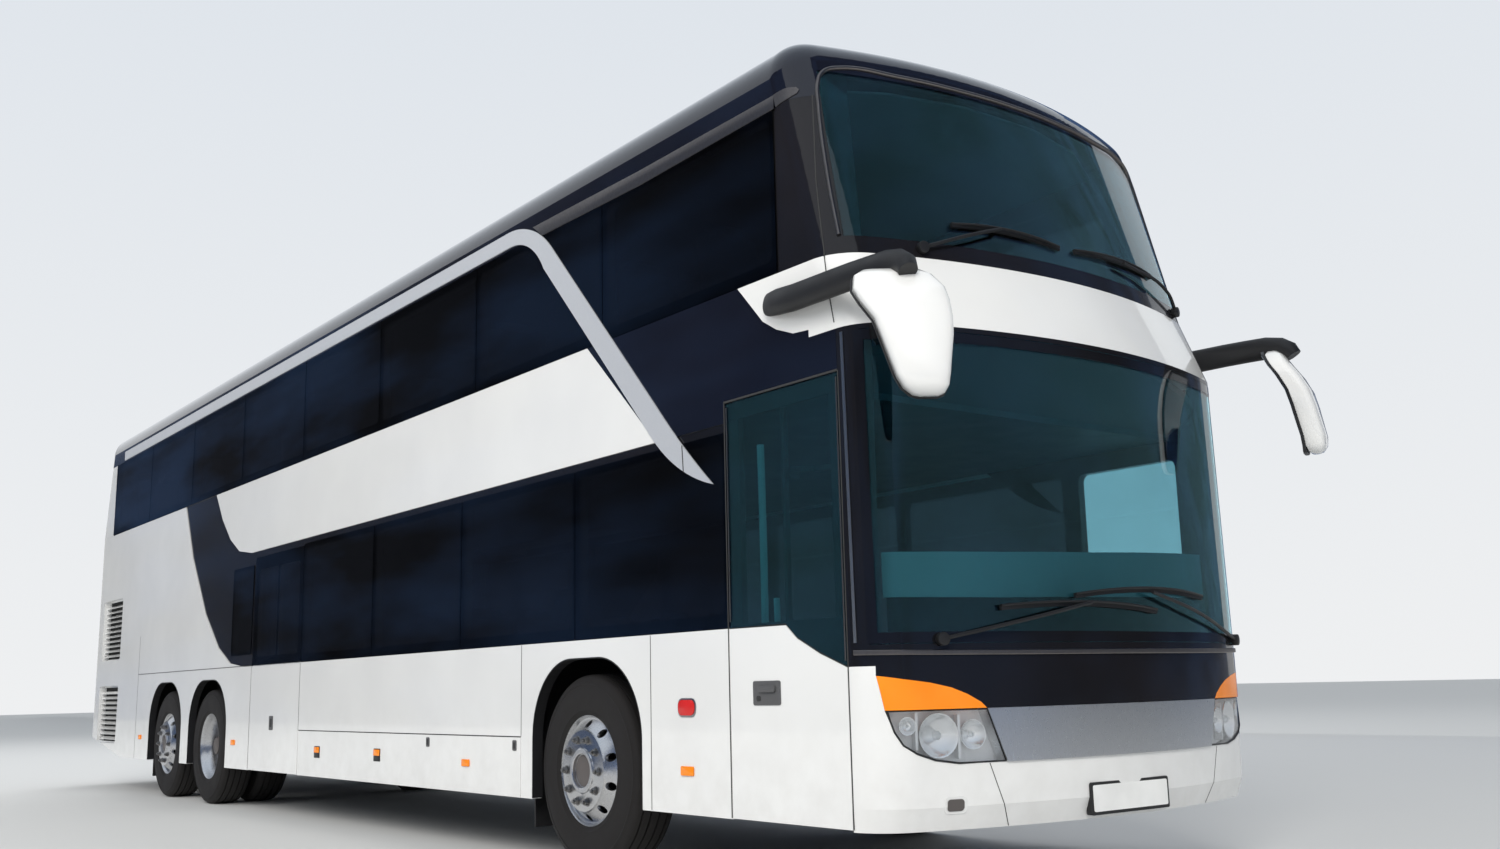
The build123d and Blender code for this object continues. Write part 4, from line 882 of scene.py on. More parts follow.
# %% Moulding, plate holder and tow cover
line = [-1.405 + 2.81 * k / 28 for k in range(29)]
line = [(s, 1.050 + 0.010 * (abs(s) / 1.4) ** 3) for s in line]
outline = [(s, z + 0.011) for s, z in line] + [(s, z - 0.011) for s, z in reversed(line)]
moulding = eased(front_plate("front_moulding", outline, 0.0, 0.009, 0.08), 0.00405, 3)
dress(smooth(moulding, 50), bead_grey, "coach", "trim")

plate_x = front_point(0.0, 0.45).x - 0.010
line = [(plate_x - 0.022, y, z) for y, z in rounded(-0.270, 0.272, 0.352, 0.490, 0.010, 3)]
dress(plate("plate_holder", line, (0.032, 0, 0)), black_plastic, "coach", "trim")
line = [(plate_x + 0.010, y, z) for y, z in rounded(-0.257, 0.259, 0.366, 0.478, 0.008, 3)]
dress(plate("number_plate_blank", line, (0.0025, 0, 0)), sign_white, "coach", "white_paint")
tow_cover = front_plate("tow_cover", rounded(-1.020, -0.918, 0.402, 0.470, 0.016), 0.0005, 0.0025)
tow_slot = front_plate("tow_slot", rounded(-1.010, -0.932, 0.412, 0.460, 0.014), 0.003, 0.001)
dress(tow_cover, white_paint, "coach", "white_paint")
dress(tow_slot, hub_dark, "coach", "trim")

seam_line = [(0.800, 0.598), (0.804, 0.598), (0.740, 0.430), (0.694, 0.338), (0.690, 0.338), (0.736, 0.430)]
seams = []
for way in (1, -1):
    line = [(way * s, z) for s, z in seam_line]
    seams.append(front_plate("bumper_seam", line, 0.0002, 0.0006, 0.2, (0.430,)))
dress(joined("bumper_seams", seams), seam_dark, "coach", "trim")
print("front trim fitted")

# %% [markdown]
# Black paint is printed round the edge of each windscreen, and a bright line marks the outer edge of the glass.
# The line is a real strip on these coaches, so it is a thin wrapped plate and not paint.

# %% Windscreen borders
outer, inner = box_line(-1.335, 1.335, 1.094, 2.436), box_line(-1.290, 1.290, 1.139, 2.391)
border, edge_lines = [], []
for k in range(4):
    m = (k + 1) % 4
    border.append(front_plate("border", [outer[k], outer[m], inner[m], inner[k]], 0.0004, 0.0012))
dress(joined("lower_screen_border", border), gloss_black, "coach", "black_paint")
for way in (1, -1):
    line = box_line(way * 1.386, way * 1.402, 1.10, 2.44)
    edge_lines.append(front_plate("edge_line", line, 0.0008, 0.003, 0.2, (1.5, 2.0)))
dress(joined("lower_edge_lines", edge_lines), satin_grey, "coach", "trim")
print("screen borders fitted")

# %% [markdown]
# Each windscreen has a pair of wipers, parked with their blades near the lower edge of the glass.
# An arm is a tapering bar that stands off the glass, and the blade is a carrier with a rubber lip.

# %% Wipers
def wiper(name, pivot, elbow, hold, blade_a, blade_b, droop):
    """An arm, a bowed carrier with its rubber lip, and the boss that the arm turns on."""
    (s0, z0), (s1, z1) = blade_a, blade_b
    lip, carrier = [], []
    for t in [k / 8 for k in range(9)]:
        bow = 4 * t * (1 - t)
        s, z = s0 + (s1 - s0) * t, z0 + (z1 - z0) * t + droop * bow
        lip.append((s, z))
        carrier.append(front_point(s, z, 0.016 + 0.012 * bow))
    outline = [(s, z + 0.004) for s, z in lip] + [(s, z - 0.020) for s, z in reversed(lip)]
    path = [front_point(*pivot, 0.020), front_point(*elbow, 0.042), front_point(*hold, 0.034)]
    boss = round_block(24, 0.028, 0.036)
    boss.data.transform(onto_front(*pivot, 0.016, (0, 0, 1)))
    return joined(name, [
        bar(name + "_arm", path, 0.0085), bar(name + "_carrier", carrier, 0.0058),
        front_plate(name + "_lip", outline, 0.001, 0.014), smooth(eased(boss, 0.006, 2, 30)),
    ])


wipers = [
    wiper("lower_wiper_left", (1.158, 1.108), (0.574, 1.239), (0.215, 1.318), (-0.298, 1.300), (0.727, 1.315), 0.030),
    wiper("lower_wiper_right", (-1.013, 1.108), (-0.560, 1.196), (-0.225, 1.262), (-0.717, 1.246), (0.268, 1.240),
    0.024),
    wiper("upper_wiper_right", (-0.873, 2.864), (-0.620, 2.950), (-0.404, 3.020), (-0.677, 3.012), (-0.006, 3.000),
    0.020),
    wiper("upper_wiper_left", (1.110, 2.866), (0.990, 2.950), (0.520, 3.016), (0.113, 3.006), (0.881, 3.030), 0.016),
]
for piece in wipers:
    dress(piece, soft_black, "coach", "trim")
print("wipers fitted:", len(wipers))

# %% [markdown]
# The skirt is broken by fine shut lines, small markers and locks, which give the long side its scale.
# Panel joints in the model are under a millimetre,
# so a dark filled joint strip shows them at the width that they have in daylight.

# %% Joint strips along the sides
def strip_between(side, x0, z0, x1, z1, width=0.005):
    """A narrow filled joint from one place to another on a side."""
    run = Vector((x1 - x0, z1 - z0)).normalized() * (width / 2)
    a, b = -run[1], run[0]
    points = [(x0 + a, z0 + b), (x1 + a, z1 + b), (x1 - a, z1 - b), (x0 - a, z0 - b)]
    return side_plate("joint", points, side, 0.0002, 0.0006)


joints = []
for side in (1, -1):
    for x0, z0, x1, z1 in (
        (0.688, 1.197, 0.688, 0.345), (-0.668, 1.197, -0.668, 0.680), (-9.130, 1.60, -9.130, 0.345),
        (-4.30, 1.197, -4.30, 0.680), (-5.475, 1.197, -5.475, 0.345),
    ):
        joints.append(strip_between(side, x0, z0, x1, z1))
    joints.append(strip_between(side, -4.290, 0.6785, -0.672, 0.6785, 0.006))
    joints.append(strip_between(side, -9.128, 1.205, -5.478, 1.205))
joints.append(strip_between(1, 1.356, 1.197, 1.356, 0.345))
strip_end = [(0.996, 2.122), (1.006, 1.986), (1.014, 1.986), (1.004, 2.122)]
for side in (1, -1):
    joints.append(side_plate("strip_joint", strip_end, side, 0.0055, 0.001))
joints.append(strip_between(-1, 1.3515, 0.345, 1.3515, 2.275, 0.008))
joints.append(strip_between(-1, 1.347, 2.278, 2.185, 2.278, 0.010))
joints.append(strip_between(-1, 2.1865, 0.345, 2.1865, 2.275, 0.007))
dress(joined("skirt_joints", joints), seam_dark, "coach", "trim")
print("joint strips:", len(joints))

# %% Markers, skirt lamps and locks
def side_tile(name, x0, x1, z0, z1, side, proud, depth, radius=0.006):
    """A small rounded plate with softened edges."""
    piece = side_plate(name, rounded(x0, x1, z0, z1, radius, 3), side, proud, depth)
    return smooth(eased(piece, min(0.0015, depth * 0.4)), 40)


def lock(x, z, side, half=0.024):
    """A lock's plate and the slot in it."""
    high, slot = half * 1.25, half * 0.75
    ring = side_tile("lock", x - half, x + half, z - high, z + high, side, 0.0, 0.004, 0.010)
    return ring, side_tile("lock_slot", x - half / 2, x + half / 2, z - slot, z + slot, side, 0.004, 0.001)


markers, red_tiles, red_bases = [], [], []
for side, flap in ((1, "left_flap"), (-1, "right_flap")):
    for x, z in ((1.004, 0.542), (-8.930, 0.563), (-5.879, 0.560)):
        markers.append(side_tile("marker", x - 0.052, x + 0.052, z - 0.022, z + 0.022, side, 0.0, 0.008))
    lamps, bases = [], []
    for x, z in ((-3.877, 0.530), (-2.741, 0.535), (-1.370, 0.505)):
        lamps.append(side_tile("flap_lamp", x - 0.050, x + 0.050, z - 0.012, z + 0.030, side, 0.0, 0.008))
        if x < -2:
            bases.append(side_tile("lamp_base", x - 0.056, x + 0.056, z - 0.050, z + 0.036, side, 0.0, 0.003))
    locks = [lock(x, 0.629, side) for x in (-1.920, -0.745)]
    dress(joined(flap + "_lamps", lamps), amber_lens, flap, "amber_lens")
    dress(joined(flap + "_lamp_bases", bases), black_plastic, flap, "trim")
    dress(joined(flap + "_locks", [ring for ring, slot in locks]), handle_grey, flap, "trim")
    dress(joined(flap + "_lock_slots", [slot for ring, slot in locks]), seam_dark, flap, "trim")
    red_tiles.append(side_tile("red_marker", 0.938, 1.072, 0.802, 0.876, side, 0.0, 0.010, 0.030))
    red_bases.append(side_tile("red_base", 0.928, 1.080, 0.794, 0.884, side, 0.0, 0.004, 0.034))
dress(joined("side_markers", markers), amber_lens, "coach", "amber_lens")
dress(joined("red_bases", red_bases), satin_grey, "coach", "trim")
dress(joined("red_markers", red_tiles), red_lens, "coach", "red_lens")
print("side markers:", len(markers))

# %% [markdown]
# A wheel arch ends in a rubber lip, so its inner edge is dark and not the body's white.
# The lip follows the arch: up one side, round a corner, across and down again, as one band with a little thickness.

# %% Arch lips and louvre backs
arch_half, arch_top, arch_radius, arch_foot = 0.570, 1.106, 0.430, 0.345


def arch_line(middle, gap):
    """An arch's outline from its rear foot to its front foot, a gap inside the panel's edge."""
    a, b, t, r = middle - arch_half + gap, middle + arch_half - gap, arch_top - gap, arch_radius - gap
    turns = [math.radians(degrees) for degrees in range(0, 91, 9)]
    rear = [(a + r - r * math.cos(turn), t - r + r * math.sin(turn)) for turn in turns]
    front = [(b - r + r * math.sin(turn), t - r + r * math.cos(turn)) for turn in turns]
    return [(a, arch_foot)] + rear + front + [(b, arch_foot)]


lips, louvre_backs = [], []
for side in (1, -1):
    for middle in (0.035, -6.665, -8.05):
        outline = arch_line(middle, 0.001) + list(reversed(arch_line(middle, 0.007)))
        lips.append(side_plate("arch_lip", outline, side, -0.064, 0.0648))
    for low, high in ((0.48, 1.10), (1.385, 2.06)):
        louvre_backs.append(side_plate("louvre_back", box_line(-10.80, -9.95, low, high), side, -0.072, 0.004))
dress(joined("arch_lips", lips), soft_black, "coach", "trim")
dress(joined("louvre_backs", louvre_backs), louvre_dark, "coach", "trim")
print("arch lips:", len(lips))

# %% Door handle, lock and grab rails
handle_plate = side_tile("door_handle_plate", 1.533, 1.732, 0.848, 0.956, -1, 0.0, 0.004, 0.010)
handle_grip = side_tile("door_handle_grip", 1.580, 1.700, 0.905, 0.935, -1, 0.004, 0.010, 0.010)
handle_eye = side_tile("door_handle_eye", 1.560, 1.590, 0.866, 0.890, -1, 0.004, 0.002, 0.008)
dress(joined("front_door_handle", [handle_plate, handle_grip]), handle_grey, "front_door", "trim")
dress(handle_eye, seam_dark, "front_door", "trim")
mid_plate, mid_slot = lock(-4.926, 0.730, -1, 0.045)
dress(mid_plate, handle_grey, "mid_door", "trim")
dress(mid_slot, seam_dark, "mid_door", "trim")
rail = [(1.492, -1.168, 1.02), (1.492, -1.165, 1.35), (1.492, -1.165, 1.75), (1.492, -1.168, 2.06)]
rail = bar("door_rail", [(along(x), y, z) for x, y, z in rail], 0.018)
low_rail = [(1.585, -1.168, 0.98), (1.585, -1.165, 1.16), (1.585, -1.168, 1.33)]
low_rail = bar("door_low_rail", [(along(x), y, z) for x, y, z in low_rail], 0.015)
dress(joined("door_rails", [rail, low_rail]), rail_pale, "front_door", "trim")
print("door fittings made")

# %% [markdown]
# The front door is one bonded pane over a thin frame, with the belt line dipping across its lower corner.
# The pane is a thin sheet and the frame behind it is black,
# as the print round the edge of such a pane hides the real one.
# The model's leaf also has a middle bar, which this door does not show,
# so the leaf is built again from its own outline.

# %% Front door leaf
door_rear, door_front, door_low, door_top = 1.3595, 2.1795, 0.3435, 2.2685
belt = [(1.776, 1.2), (1.850, 1.140), (2.000, 1.070)]
outline = [(door_rear, door_low), (door_rear, 1.1975)] + [(x, z - 0.0045) for x, z in belt]
outline += [(door_front, 1.0010), (door_front, door_low)]
dress(side_plate("door_skin", outline, -1, -0.006, 0.006), white_paint, "front_door", "white_paint", "front_door")

core_in, core_out = 1.2352, 1.2685
x0, x1, z0, z1 = door_rear + 0.004, door_front - 0.004, door_low + 0.004, door_top - 0.004
hole_x0, hole_x1, hole_z0, hole_z1 = door_rear + 0.095, door_front - 0.070, 1.215, door_top - 0.085
bars = [box_line(x0, x1, z0, hole_z0), box_line(x0, x1, hole_z1, z1)]
bars += [box_line(x0, hole_x0, hole_z0, hole_z1), box_line(hole_x1, x1, hole_z0, hole_z1)]
bars = [side_plate("door_bar", line, -1, core_in - skin_y, core_out - core_in) for line in bars]
dress(eased(joined("door_core", bars), 0.002, 1), black_plastic, "front_door", "black_paint", "front_door")

outline = [(door_rear, door_top), (door_rear, 1.2025)] + [(x, z + 0.0045) for x, z in belt]
outline += [(door_front, 1.0075), (door_front, door_top)]
door_pane = side_plate("door_pane", outline, -1, -0.005, 0.004)
dress(door_pane, door_glass, "front_door", "windscreen_glass", "front_door_glass")
edges = [box_line(x, x + 0.008, low, 2.25) for x, low in ((door_rear + 0.004, 1.23), (door_front - 0.012, 1.03))]
edges = [side_plate("door_edge", line, -1, -0.001, 0.0018) for line in edges]
dress(joined("door_edge_strips", edges), bead_grey, "front_door", "trim")

door_middle, brackets = 1.7695, []
for level in (0.820, 1.900):
    foot = [(-0.025, -core_in), (-0.025, -1.181), (0.025, -1.181), (0.025, -core_in)]
    foot = [(along(door_middle + x), y, level - 0.043) for x, y in foot]
    brackets.append(plate("arm_bracket", foot, (0, 0, 0.030)))
    brackets.append(smooth(round_block(24, 0.0119, 0.026, (along(door_middle), -1.205, level))))
stay = box_line(door_middle - 0.011, door_middle + 0.011, 1.20, door_top - 0.08)
brackets.append(side_plate("door_stay", stay, -1, -0.0398, 0.022))
dress(joined("door_arm_brackets", brackets), black_plastic, "front_door", "black_paint")
print("front door leaf built")

# %% [markdown]
# The mirrors hang from deep arms that run forward past the corners,
# and each head is turned so that its outer end lies further back.
# The painted shell faces forward and a black rim and the glass face the driver.
# A head is lofted: a cylinder is cut into rings, and each ring is then drawn out to its own place, turn and size.

# %% Mirror heads
head_rings = [
    (2.585, 2.660, 1.384, 0.120, 0.030), (2.560, 2.668, 1.384, 0.160, 0.050), (2.500, 2.700, 1.383, 0.186, 0.058),
    (2.440, 2.738, 1.388, 0.178, 0.060), (2.360, 2.780, 1.386, 0.156, 0.060), (2.280, 2.800, 1.388, 0.142, 0.060),
    (2.200, 2.814, 1.391, 0.124, 0.060), (2.120, 2.829, 1.394, 0.106, 0.059), (2.070, 2.836, 1.388, 0.088, 0.052),
    (2.040, 2.838, 1.380, 0.062, 0.036), (2.031, 2.838, 1.376, 0.034, 0.018),
]


def lofted(name, rings, around, shape):
    """A closed tube of rings; shape gives a point for each ring and angle."""
    n = len(rings) - 1
    piece = round_block(around, 1, n, (0, 0, n / 2))
    piece.name = piece.data.name = name
    edit(piece)
    for k in range(1, n):
        cut((0, 0, k), (0, 0, 1))
    clear()
    for vertex in piece.data.vertices:
        vertex.co = shape(rings[round(vertex.co.z)], math.atan2(vertex.co.y, vertex.co.x))
    return smooth(face_out(piece), 45)


def head_shape(side, front_part, rear_part, degrees):
    """Rings of a mirror head between two depths; a full front part is crowned and a negative one is a slice behind."""
    turn = math.radians(degrees)
    long_way, deep_way = Vector((-math.sin(turn), math.cos(turn))), Vector((math.cos(turn), math.sin(turn)))

    def shape(ring, angle):
        z, x, y, half, deep = ring
        c, s = math.cos(angle), math.sin(angle)
        along_head = half * math.copysign(abs(c) ** 0.62, c)
        if front_part < 0:
            middle, reach = (front_part - rear_part) / 2, (front_part + rear_part) / 2
            through = deep * (middle + reach * max(-1.0, min(1.0, s * 6)))
        elif s > 0:
            through = deep * s ** 0.62 * front_part
        else:
            through = -deep * rear_part * min(1.0, -s * 6)
        at = Vector((x, y)) + long_way * along_head + deep_way * through
        return Vector((along(at.x), side * at.y, z))
    return shape


for label, side, degrees, scale in (("left", 1, 23, 0.93), ("right", -1, 35, 1.0)):
    rings = [(z, x, y, half * scale, deep) for z, x, y, half, deep in head_rings]
    rim_rings = [(z, x, y, max(half + 0.007, 0.03), 0.055) for z, x, y, half, deep in rings]
    glass_rings = [(z, x, y, half * 0.90, 0.055) for z, x, y, half, deep in rings[1:-1]]
    shell = lofted("mirror_shell_" + label, rings, 40, head_shape(side, 1.0, 0.78, degrees))
    dress(shell, white_paint, "coach", "white_paint", "mirror_shells")
    rim = lofted("mirror_rim_" + label, rim_rings, 40, head_shape(side, -0.72, 1.02, degrees))
    dress(rim, black_plastic, "coach", "black_paint", "mirror_shells")
    glass = lofted("mirror_glass_" + label, glass_rings, 40, head_shape(side, -0.95, 1.07, degrees))
    dress(glass, mirror_silver, "coach", "chrome", "mirror_shells")
print("mirror heads made")

# %% Mirror arms
arm_path = [
    (1.700, 1.270, 2.676), (1.760, 1.300, 2.668), (1.850, 1.326, 2.655), (1.981, 1.340, 2.642), (2.227, 1.352, 2.637),
    (2.380, 1.357, 2.635), (2.503, 1.361, 2.631), (2.620, 1.366, 2.626), (2.700, 1.372, 2.612), (2.745, 1.378, 2.588),
    (2.760, 1.384, 2.560),
]


def arm_shape(side):
    def shape(ring, angle):
        k, (x, y, z), wide, high = ring
        here = Vector((x, y, z))
        before, after = Vector(arm_path[max(k - 1, 0)]), Vector(arm_path[min(k + 1, len(arm_path) - 1)])
        ahead = (after - before).normalized()
        across = Vector((-ahead.y, ahead.x, 0)).normalized()
        up = ahead.cross(across)
        at = here + across * wide * math.cos(angle) + up * high * math.sin(angle)
        return Vector((along(at.x), side * at.y, at.z))
    return shape


high_of = [0.044, 0.056, 0.062, 0.063, 0.063, 0.062, 0.061, 0.060, 0.056, 0.050, 0.044]
wide_of = [0.022, 0.034, 0.038, 0.038, 0.038, 0.038, 0.038, 0.039, 0.042, 0.044, 0.040]
for label, side in (("left", 1), ("right", -1)):
    rings = [(k, arm_path[k], wide_of[k], high_of[k]) for k in range(len(arm_path))]
    arm = lofted("mirror_arm_" + label, rings, 32, arm_shape(side))
    dress(arm, soft_black, "coach", "black_paint", "mirror_arms")
print("mirror arms made")

# %% [markdown]
# Seats are what fills the dark windows of a coach,
# so they are modelled once as soft pads and repeated along both decks.
# Each pad is blown up a little with a cloth simulation,
# as foam fills its cover, and its seams are pressed in afterwards.
# The mesh is kept coarse, because sixty pads are only seen through tinted glass.

# %% One soft seat
def soft_block(name, size, place, voxel, swell):
    """A rounded block remeshed and swelled by air pressure, held to a few millimetres."""
    clear()
    bpy.ops.mesh.primitive_cube_add(size=1, location=(0, 0, 0))
    pad = bpy.context.object
    pad.name = pad.data.name = name
    pad.scale = size
    settle(pad)
    finish_with(pad, "BEVEL", width=min(size) * 0.38, segments=3)
    finish_with(pad, "REMESH", mode="VOXEL", voxel_size=voxel)
    before = [vertex.co.copy() for vertex in pad.data.vertices]
    only(pad)
    cloth = pad.modifiers.new("cloth", "CLOTH")
    cloth.settings.use_pressure = True
    cloth.settings.uniform_pressure_force = 4
    cloth.settings.effector_weights.gravity = 0
    cloth.point_cache.frame_end = 16
    for k in range(1, 13):
        bpy.context.scene.frame_set(k)
    bpy.ops.object.modifier_apply(modifier=cloth.name)
    bpy.context.scene.frame_set(1)
    for vertex, start in zip(pad.data.vertices, before):
        move = vertex.co - start
        if move.length > swell:
            vertex.co = start + move.normalized() * swell
    for vertex in pad.data.vertices:
        vertex.co = vertex.co + Vector(place)
    return smooth(pad, 60)


def pressed(pad, axis, places, width, depth, middle):
    """Sewn channels: points near each place are drawn towards the pad's middle."""
    for vertex in pad.data.vertices:
        for place in places:
            near = abs(vertex.co[axis] - place)
            if near < width:
                vertex.co += (Vector(middle) - vertex.co).normalized() * depth * (1 - near / width)
    return pad


cushion_middle, back_middle = (0.275, 0, 0.385), (0.02, 0, 0.715)
cushion = soft_block("seat_cushion", (0.40, 0.39, 0.13), cushion_middle, 0.030, 0.014)
pressed(cushion, 1, (-0.12, 0.12), 0.03, 0.010, cushion_middle)
back = soft_block("seat_back", (0.095, 0.39, 0.62), (0, 0, 0), 0.030, 0.012)
back.data.transform(Matrix.Translation(back_middle) @ Matrix.Rotation(math.radians(-9), 4, "Y"))
pressed(back, 2, (0.62, 0.80), 0.03, 0.010, back_middle)
rest = soft_block("seat_headrest", (0.07, 0.24, 0.13), (-0.045, 0, 1.015), 0.026, 0.008)
print("pad faces", len(cushion.data.polygons), len(back.data.polygons), len(rest.data.polygons))


# %% Seats on both decks
def seat_row(places):
    """The three pads of a seat at each place."""
    return [copied(pad, Matrix.Translation((along(x), y, z))) for x, y, z in places for pad in (cushion, back, rest)]


deck_z, floor_z = 2.26, 0.395
upper, lower = [], []
for k in range(15):
    x = -10.05 + 0.79 * k
    upper += [(x, -y, deck_z) for y in (0.545, 0.970)]
    if not -5.7 < x < -2.8:
        upper += [(x, y, deck_z) for y in (0.545, 0.970)]
for x in (-3.29, -2.50, -1.71):
    lower += [(x, -y, floor_z) for y in (0.545, 0.970)]
    if x > -3:
        lower += [(x, y, floor_z) for y in (0.545, 0.970)]
lower.append((1.0, 0.68, floor_z))
for deck, places in (("upper", upper), ("lower", lower)):
    pads = joined(deck + "_seat_pads", seat_row(places))
    dress(pads, seat_cloth, "coach", "seat_fabric", "seats")
remove(cushion, back, rest)
print("seats", len(upper), "above and", len(lower), "below")

# %% [markdown]
# Each pair of seats stands on one pressed pedestal with a pan under the cushions.
# A real frame is hidden by the pads, so the pan, the pedestal and the arm rest are all that is modelled.

# %% Seat frames
def profile(name, points, y, depth):
    """An outline in (x, z), given its depth across the coach."""
    return plate(name, [(x, y, z) for x, z in points], (0, depth, 0))


pan = profile("pan", [(0.07, 0.290), (0.47, 0.305), (0.47, 0.325), (0.03, 0.312)], -0.42, 0.84)
post = profile("post", [(0.18, 0.0), (0.34, 0.0), (0.31, 0.295), (0.21, 0.290)], -0.18, 0.36)
arm = bar("arm", [(0.02, -0.425, 0.58), (0.12, -0.425, 0.60), (0.34, -0.425, 0.60), (0.37, -0.425, 0.585)], 0.016)
finish_with(post, "BEVEL", width=0.01, segments=2)
frame_master = joined("seat_frame", [pan, post, arm])
frames = []
for x, y, z in sorted(set((x, round(math.copysign(0.7575, y), 4), z) for x, y, z in upper + lower if x < 0.9)):
    way = 1 if y > 0 else -1
    piece = copied(frame_master, Matrix.Translation((along(x), y, z)) @ Matrix.Scale(way, 4, (0, 1, 0)))
    frames.append(piece if y > 0 else face_out(piece))
remove(frame_master)
dress(joined("seat_frames", frames), trim_grey, "coach", "trim", "seats")
line = [(along(x), z) for x, z in ((1.10, 0.396), (1.42, 0.396), (1.36, 0.69), (1.08, 0.68))]
stand = profile("driver_stand", line, 0.50, 0.36)
finish_with(stand, "BEVEL", width=0.02, segments=2)
dress(stand, dash_grey, "coach", "trim", "seats")
print("seat frames", len(frames))

# %% [markdown]
# Through the lower windscreen the eye meets a pale ledge right across the cab, and the steering wheel above it.
# The ledge follows the glass, so it is wrapped on the front's curve a little way behind it.

# %% Cab ledge, instruments and steering wheel
ledge_line = [(-1.285, 1.290), (-0.60, 1.290), (0, 1.300), (0.60, 1.312), (1.235, 1.335)]
ledge_line += [(1.235, 1.555), (0.60, 1.530), (0, 1.505), (-0.60, 1.490), (-1.285, 1.480)]
# The ledge's finish carries painted shade, darker towards the driver's side.
dress(front_plate("cab_ledge", ledge_line, -0.135, 0.012), ledge_painted_shade, "coach", "trim")
kick_line = [(-1.255, 1.060), (1.255, 1.060), (1.255, 1.334)]
kick_line += [(0.60, 1.311), (0, 1.299), (-0.60, 1.289), (-1.255, 1.289)]
dress(front_plate("cab_front_panel", kick_line, -0.128, 0.010), louvre_dark, "coach", "trim")
liner = [(-10.7, -1.08), (1.78, -1.08), (1.98, -0.70), (2.08, -0.25)]
liner += [(x, -y) for x, y in reversed(liner)]
liner = plate("ceiling_liner", [(along(x), y, 3.772) for x, y in liner], (0, 0, 0.012))
dress(liner, liner_dark, "coach", "trim")
line = [(along(x), z) for x, z in ((1.98, 1.04), (2.22, 1.05), (2.24, 1.28), (2.02, 1.26), (1.93, 1.16))]
panel = profile("instrument_hood", line, 0.36, 0.60)
finish_with(panel, "BEVEL", width=0.03, segments=3)
dress(smooth(panel), dash_grey, "coach", "trim")


def steering_ring():
    """A rim, a hub and three spokes, tilted towards the driver."""
    centre, tilt = Vector((along(1.80), 0.64, 1.15)), math.radians(55)
    clear()
    bpy.ops.mesh.primitive_torus_add(major_radius=0.216, minor_radius=0.0135, major_segments=48, minor_segments=10)
    pieces = [bpy.context.object, eased(round_block(32, 0.062, 0.030), 0.008, 2, 30)]
    for degrees in (-20, 200, 90):
        line = [(0.05, -0.016), (0.207, -0.011), (0.207, 0.011), (0.05, 0.016)]
        spoke = plate("spoke", [(x, y, -0.006) for x, y in line], (0, 0, 0.012))
        spoke.data.transform(Matrix.Rotation(math.radians(degrees), 4, "Z"))
        pieces.append(spoke)
    wheel = joined("steering_wheel_ring", pieces)
    turn = Matrix(((0, math.sin(tilt), -math.cos(tilt)), (1, 0, 0), (0, math.cos(tilt), math.sin(tilt))))
    wheel.data.transform(Matrix.Translation(centre) @ turn.to_4x4())
    return smooth(face_out(wheel))


dress(steering_ring(), soft_black, "coach", "trim", "steering_wheel")
print("cab fitted")

# %% [markdown]
# The upper screen sits in a pale bead that runs up both edges and round its top corners.
# A thin bar bent along the front's curve gives it the rounded section that catches the light all the way round.

# %% Bead round the upper windscreen and strips on the upper side
bead_line = [
    (-1.262, 2.905), (-1.248, 3.20), (-1.208, 3.60), (-1.190, 3.70), (-1.150, 3.775), (-1.060, 3.812), (-0.73, 3.815),
    (-0.35, 3.812),
]
bead_line += [(0, 3.812)] + mirrored_line(bead_line)
bead = bar("upper_screen_bead", [front_point(s, z, 0.003) for s, z in bead_line], 0.0105)
dress(bead, bead_grey, "coach", "trim")
tip = [(1.4256, 3.626), (1.340, 3.646), (1.295, 3.662), (1.280, 3.680)]
tip += [(1.292, 3.696), (1.340, 3.703), (1.4256, 3.692)]
seam_line = [(-1.226, 3.646), (-1.266, 3.413), (-1.305, 3.196)]
seam_line += [(-1.328, 3.011), (-1.347, 2.843), (-1.402, 2.600), (-1.424, 2.492)]
seam_line = [(s + 0.003, z) for s, z in seam_line] + [(s - 0.003, z) for s, z in reversed(seam_line)]
upper_strips, upper_joints = [], []
for side in (1, -1):
    outline = [(-0.440, 3.622), (0.631, 3.604), (1.800, 3.624), (1.800, 3.691), (0.633, 3.688), (-0.560, 3.706)]
    upper_strips.append(smooth(eased(side_plate("upper_strip", outline, side, 0.0005, 0.004), 0.0015), 40))
    outline = tip if side > 0 else mirrored_line(tip)
    upper_strips.append(front_plate("upper_strip_tip", outline, 0.0005, 0.004))
    outline = seam_line if side < 0 else mirrored_line(seam_line)
    upper_joints.append(front_plate("corner_joint", outline, 0.0004, 0.0008, 0.03, (3.5, 3.3, 3.1, 2.93, 2.72)))
dress(joined("upper_strips", upper_strips), bead_grey, "coach", "trim")
dress(joined("upper_corner_joints", upper_joints), seam_dark, "coach", "trim")
print("upper bead and strips fitted")

# %% [markdown]
# Nobody photographed the tail, so it carries what such a coach has there:
# three-part lamps, a barred grille in the engine lid,
# a blank plate under its light bar, and a high brake light.
# The tail has its own plan curve, flatter than the front's, and its plates are wrapped on that.

# %% The tail's plan curve
tail_r, tail_x = 9.0, -7.109
tail_start = math.asin(corner_y / (tail_r - corner_r))
tail_run = tail_r * tail_start
tail_in = tail_r - (tail_r - corner_r) * math.cos(tail_start)


def tail_point(s, z, out=0.0):
    """A point on the tail, s measured round from its middle."""
    way, run = (1 if s >= 0 else -1), abs(s)
    x = tail_x + max(0.0, z - 2.815) * math.tan(math.radians(14))
    if run <= tail_run:
        a = run / tail_r
        return Vector((x + tail_r - (tail_r + out) * math.cos(a), way * (tail_r + out) * math.sin(a), z))
    a = min(tail_start + (run - tail_run) / corner_r, math.pi / 2)
    x += tail_in - (corner_r + out) * math.cos(a)
    return Vector((x, way * (corner_y + (corner_r + out) * math.sin(a)), z))


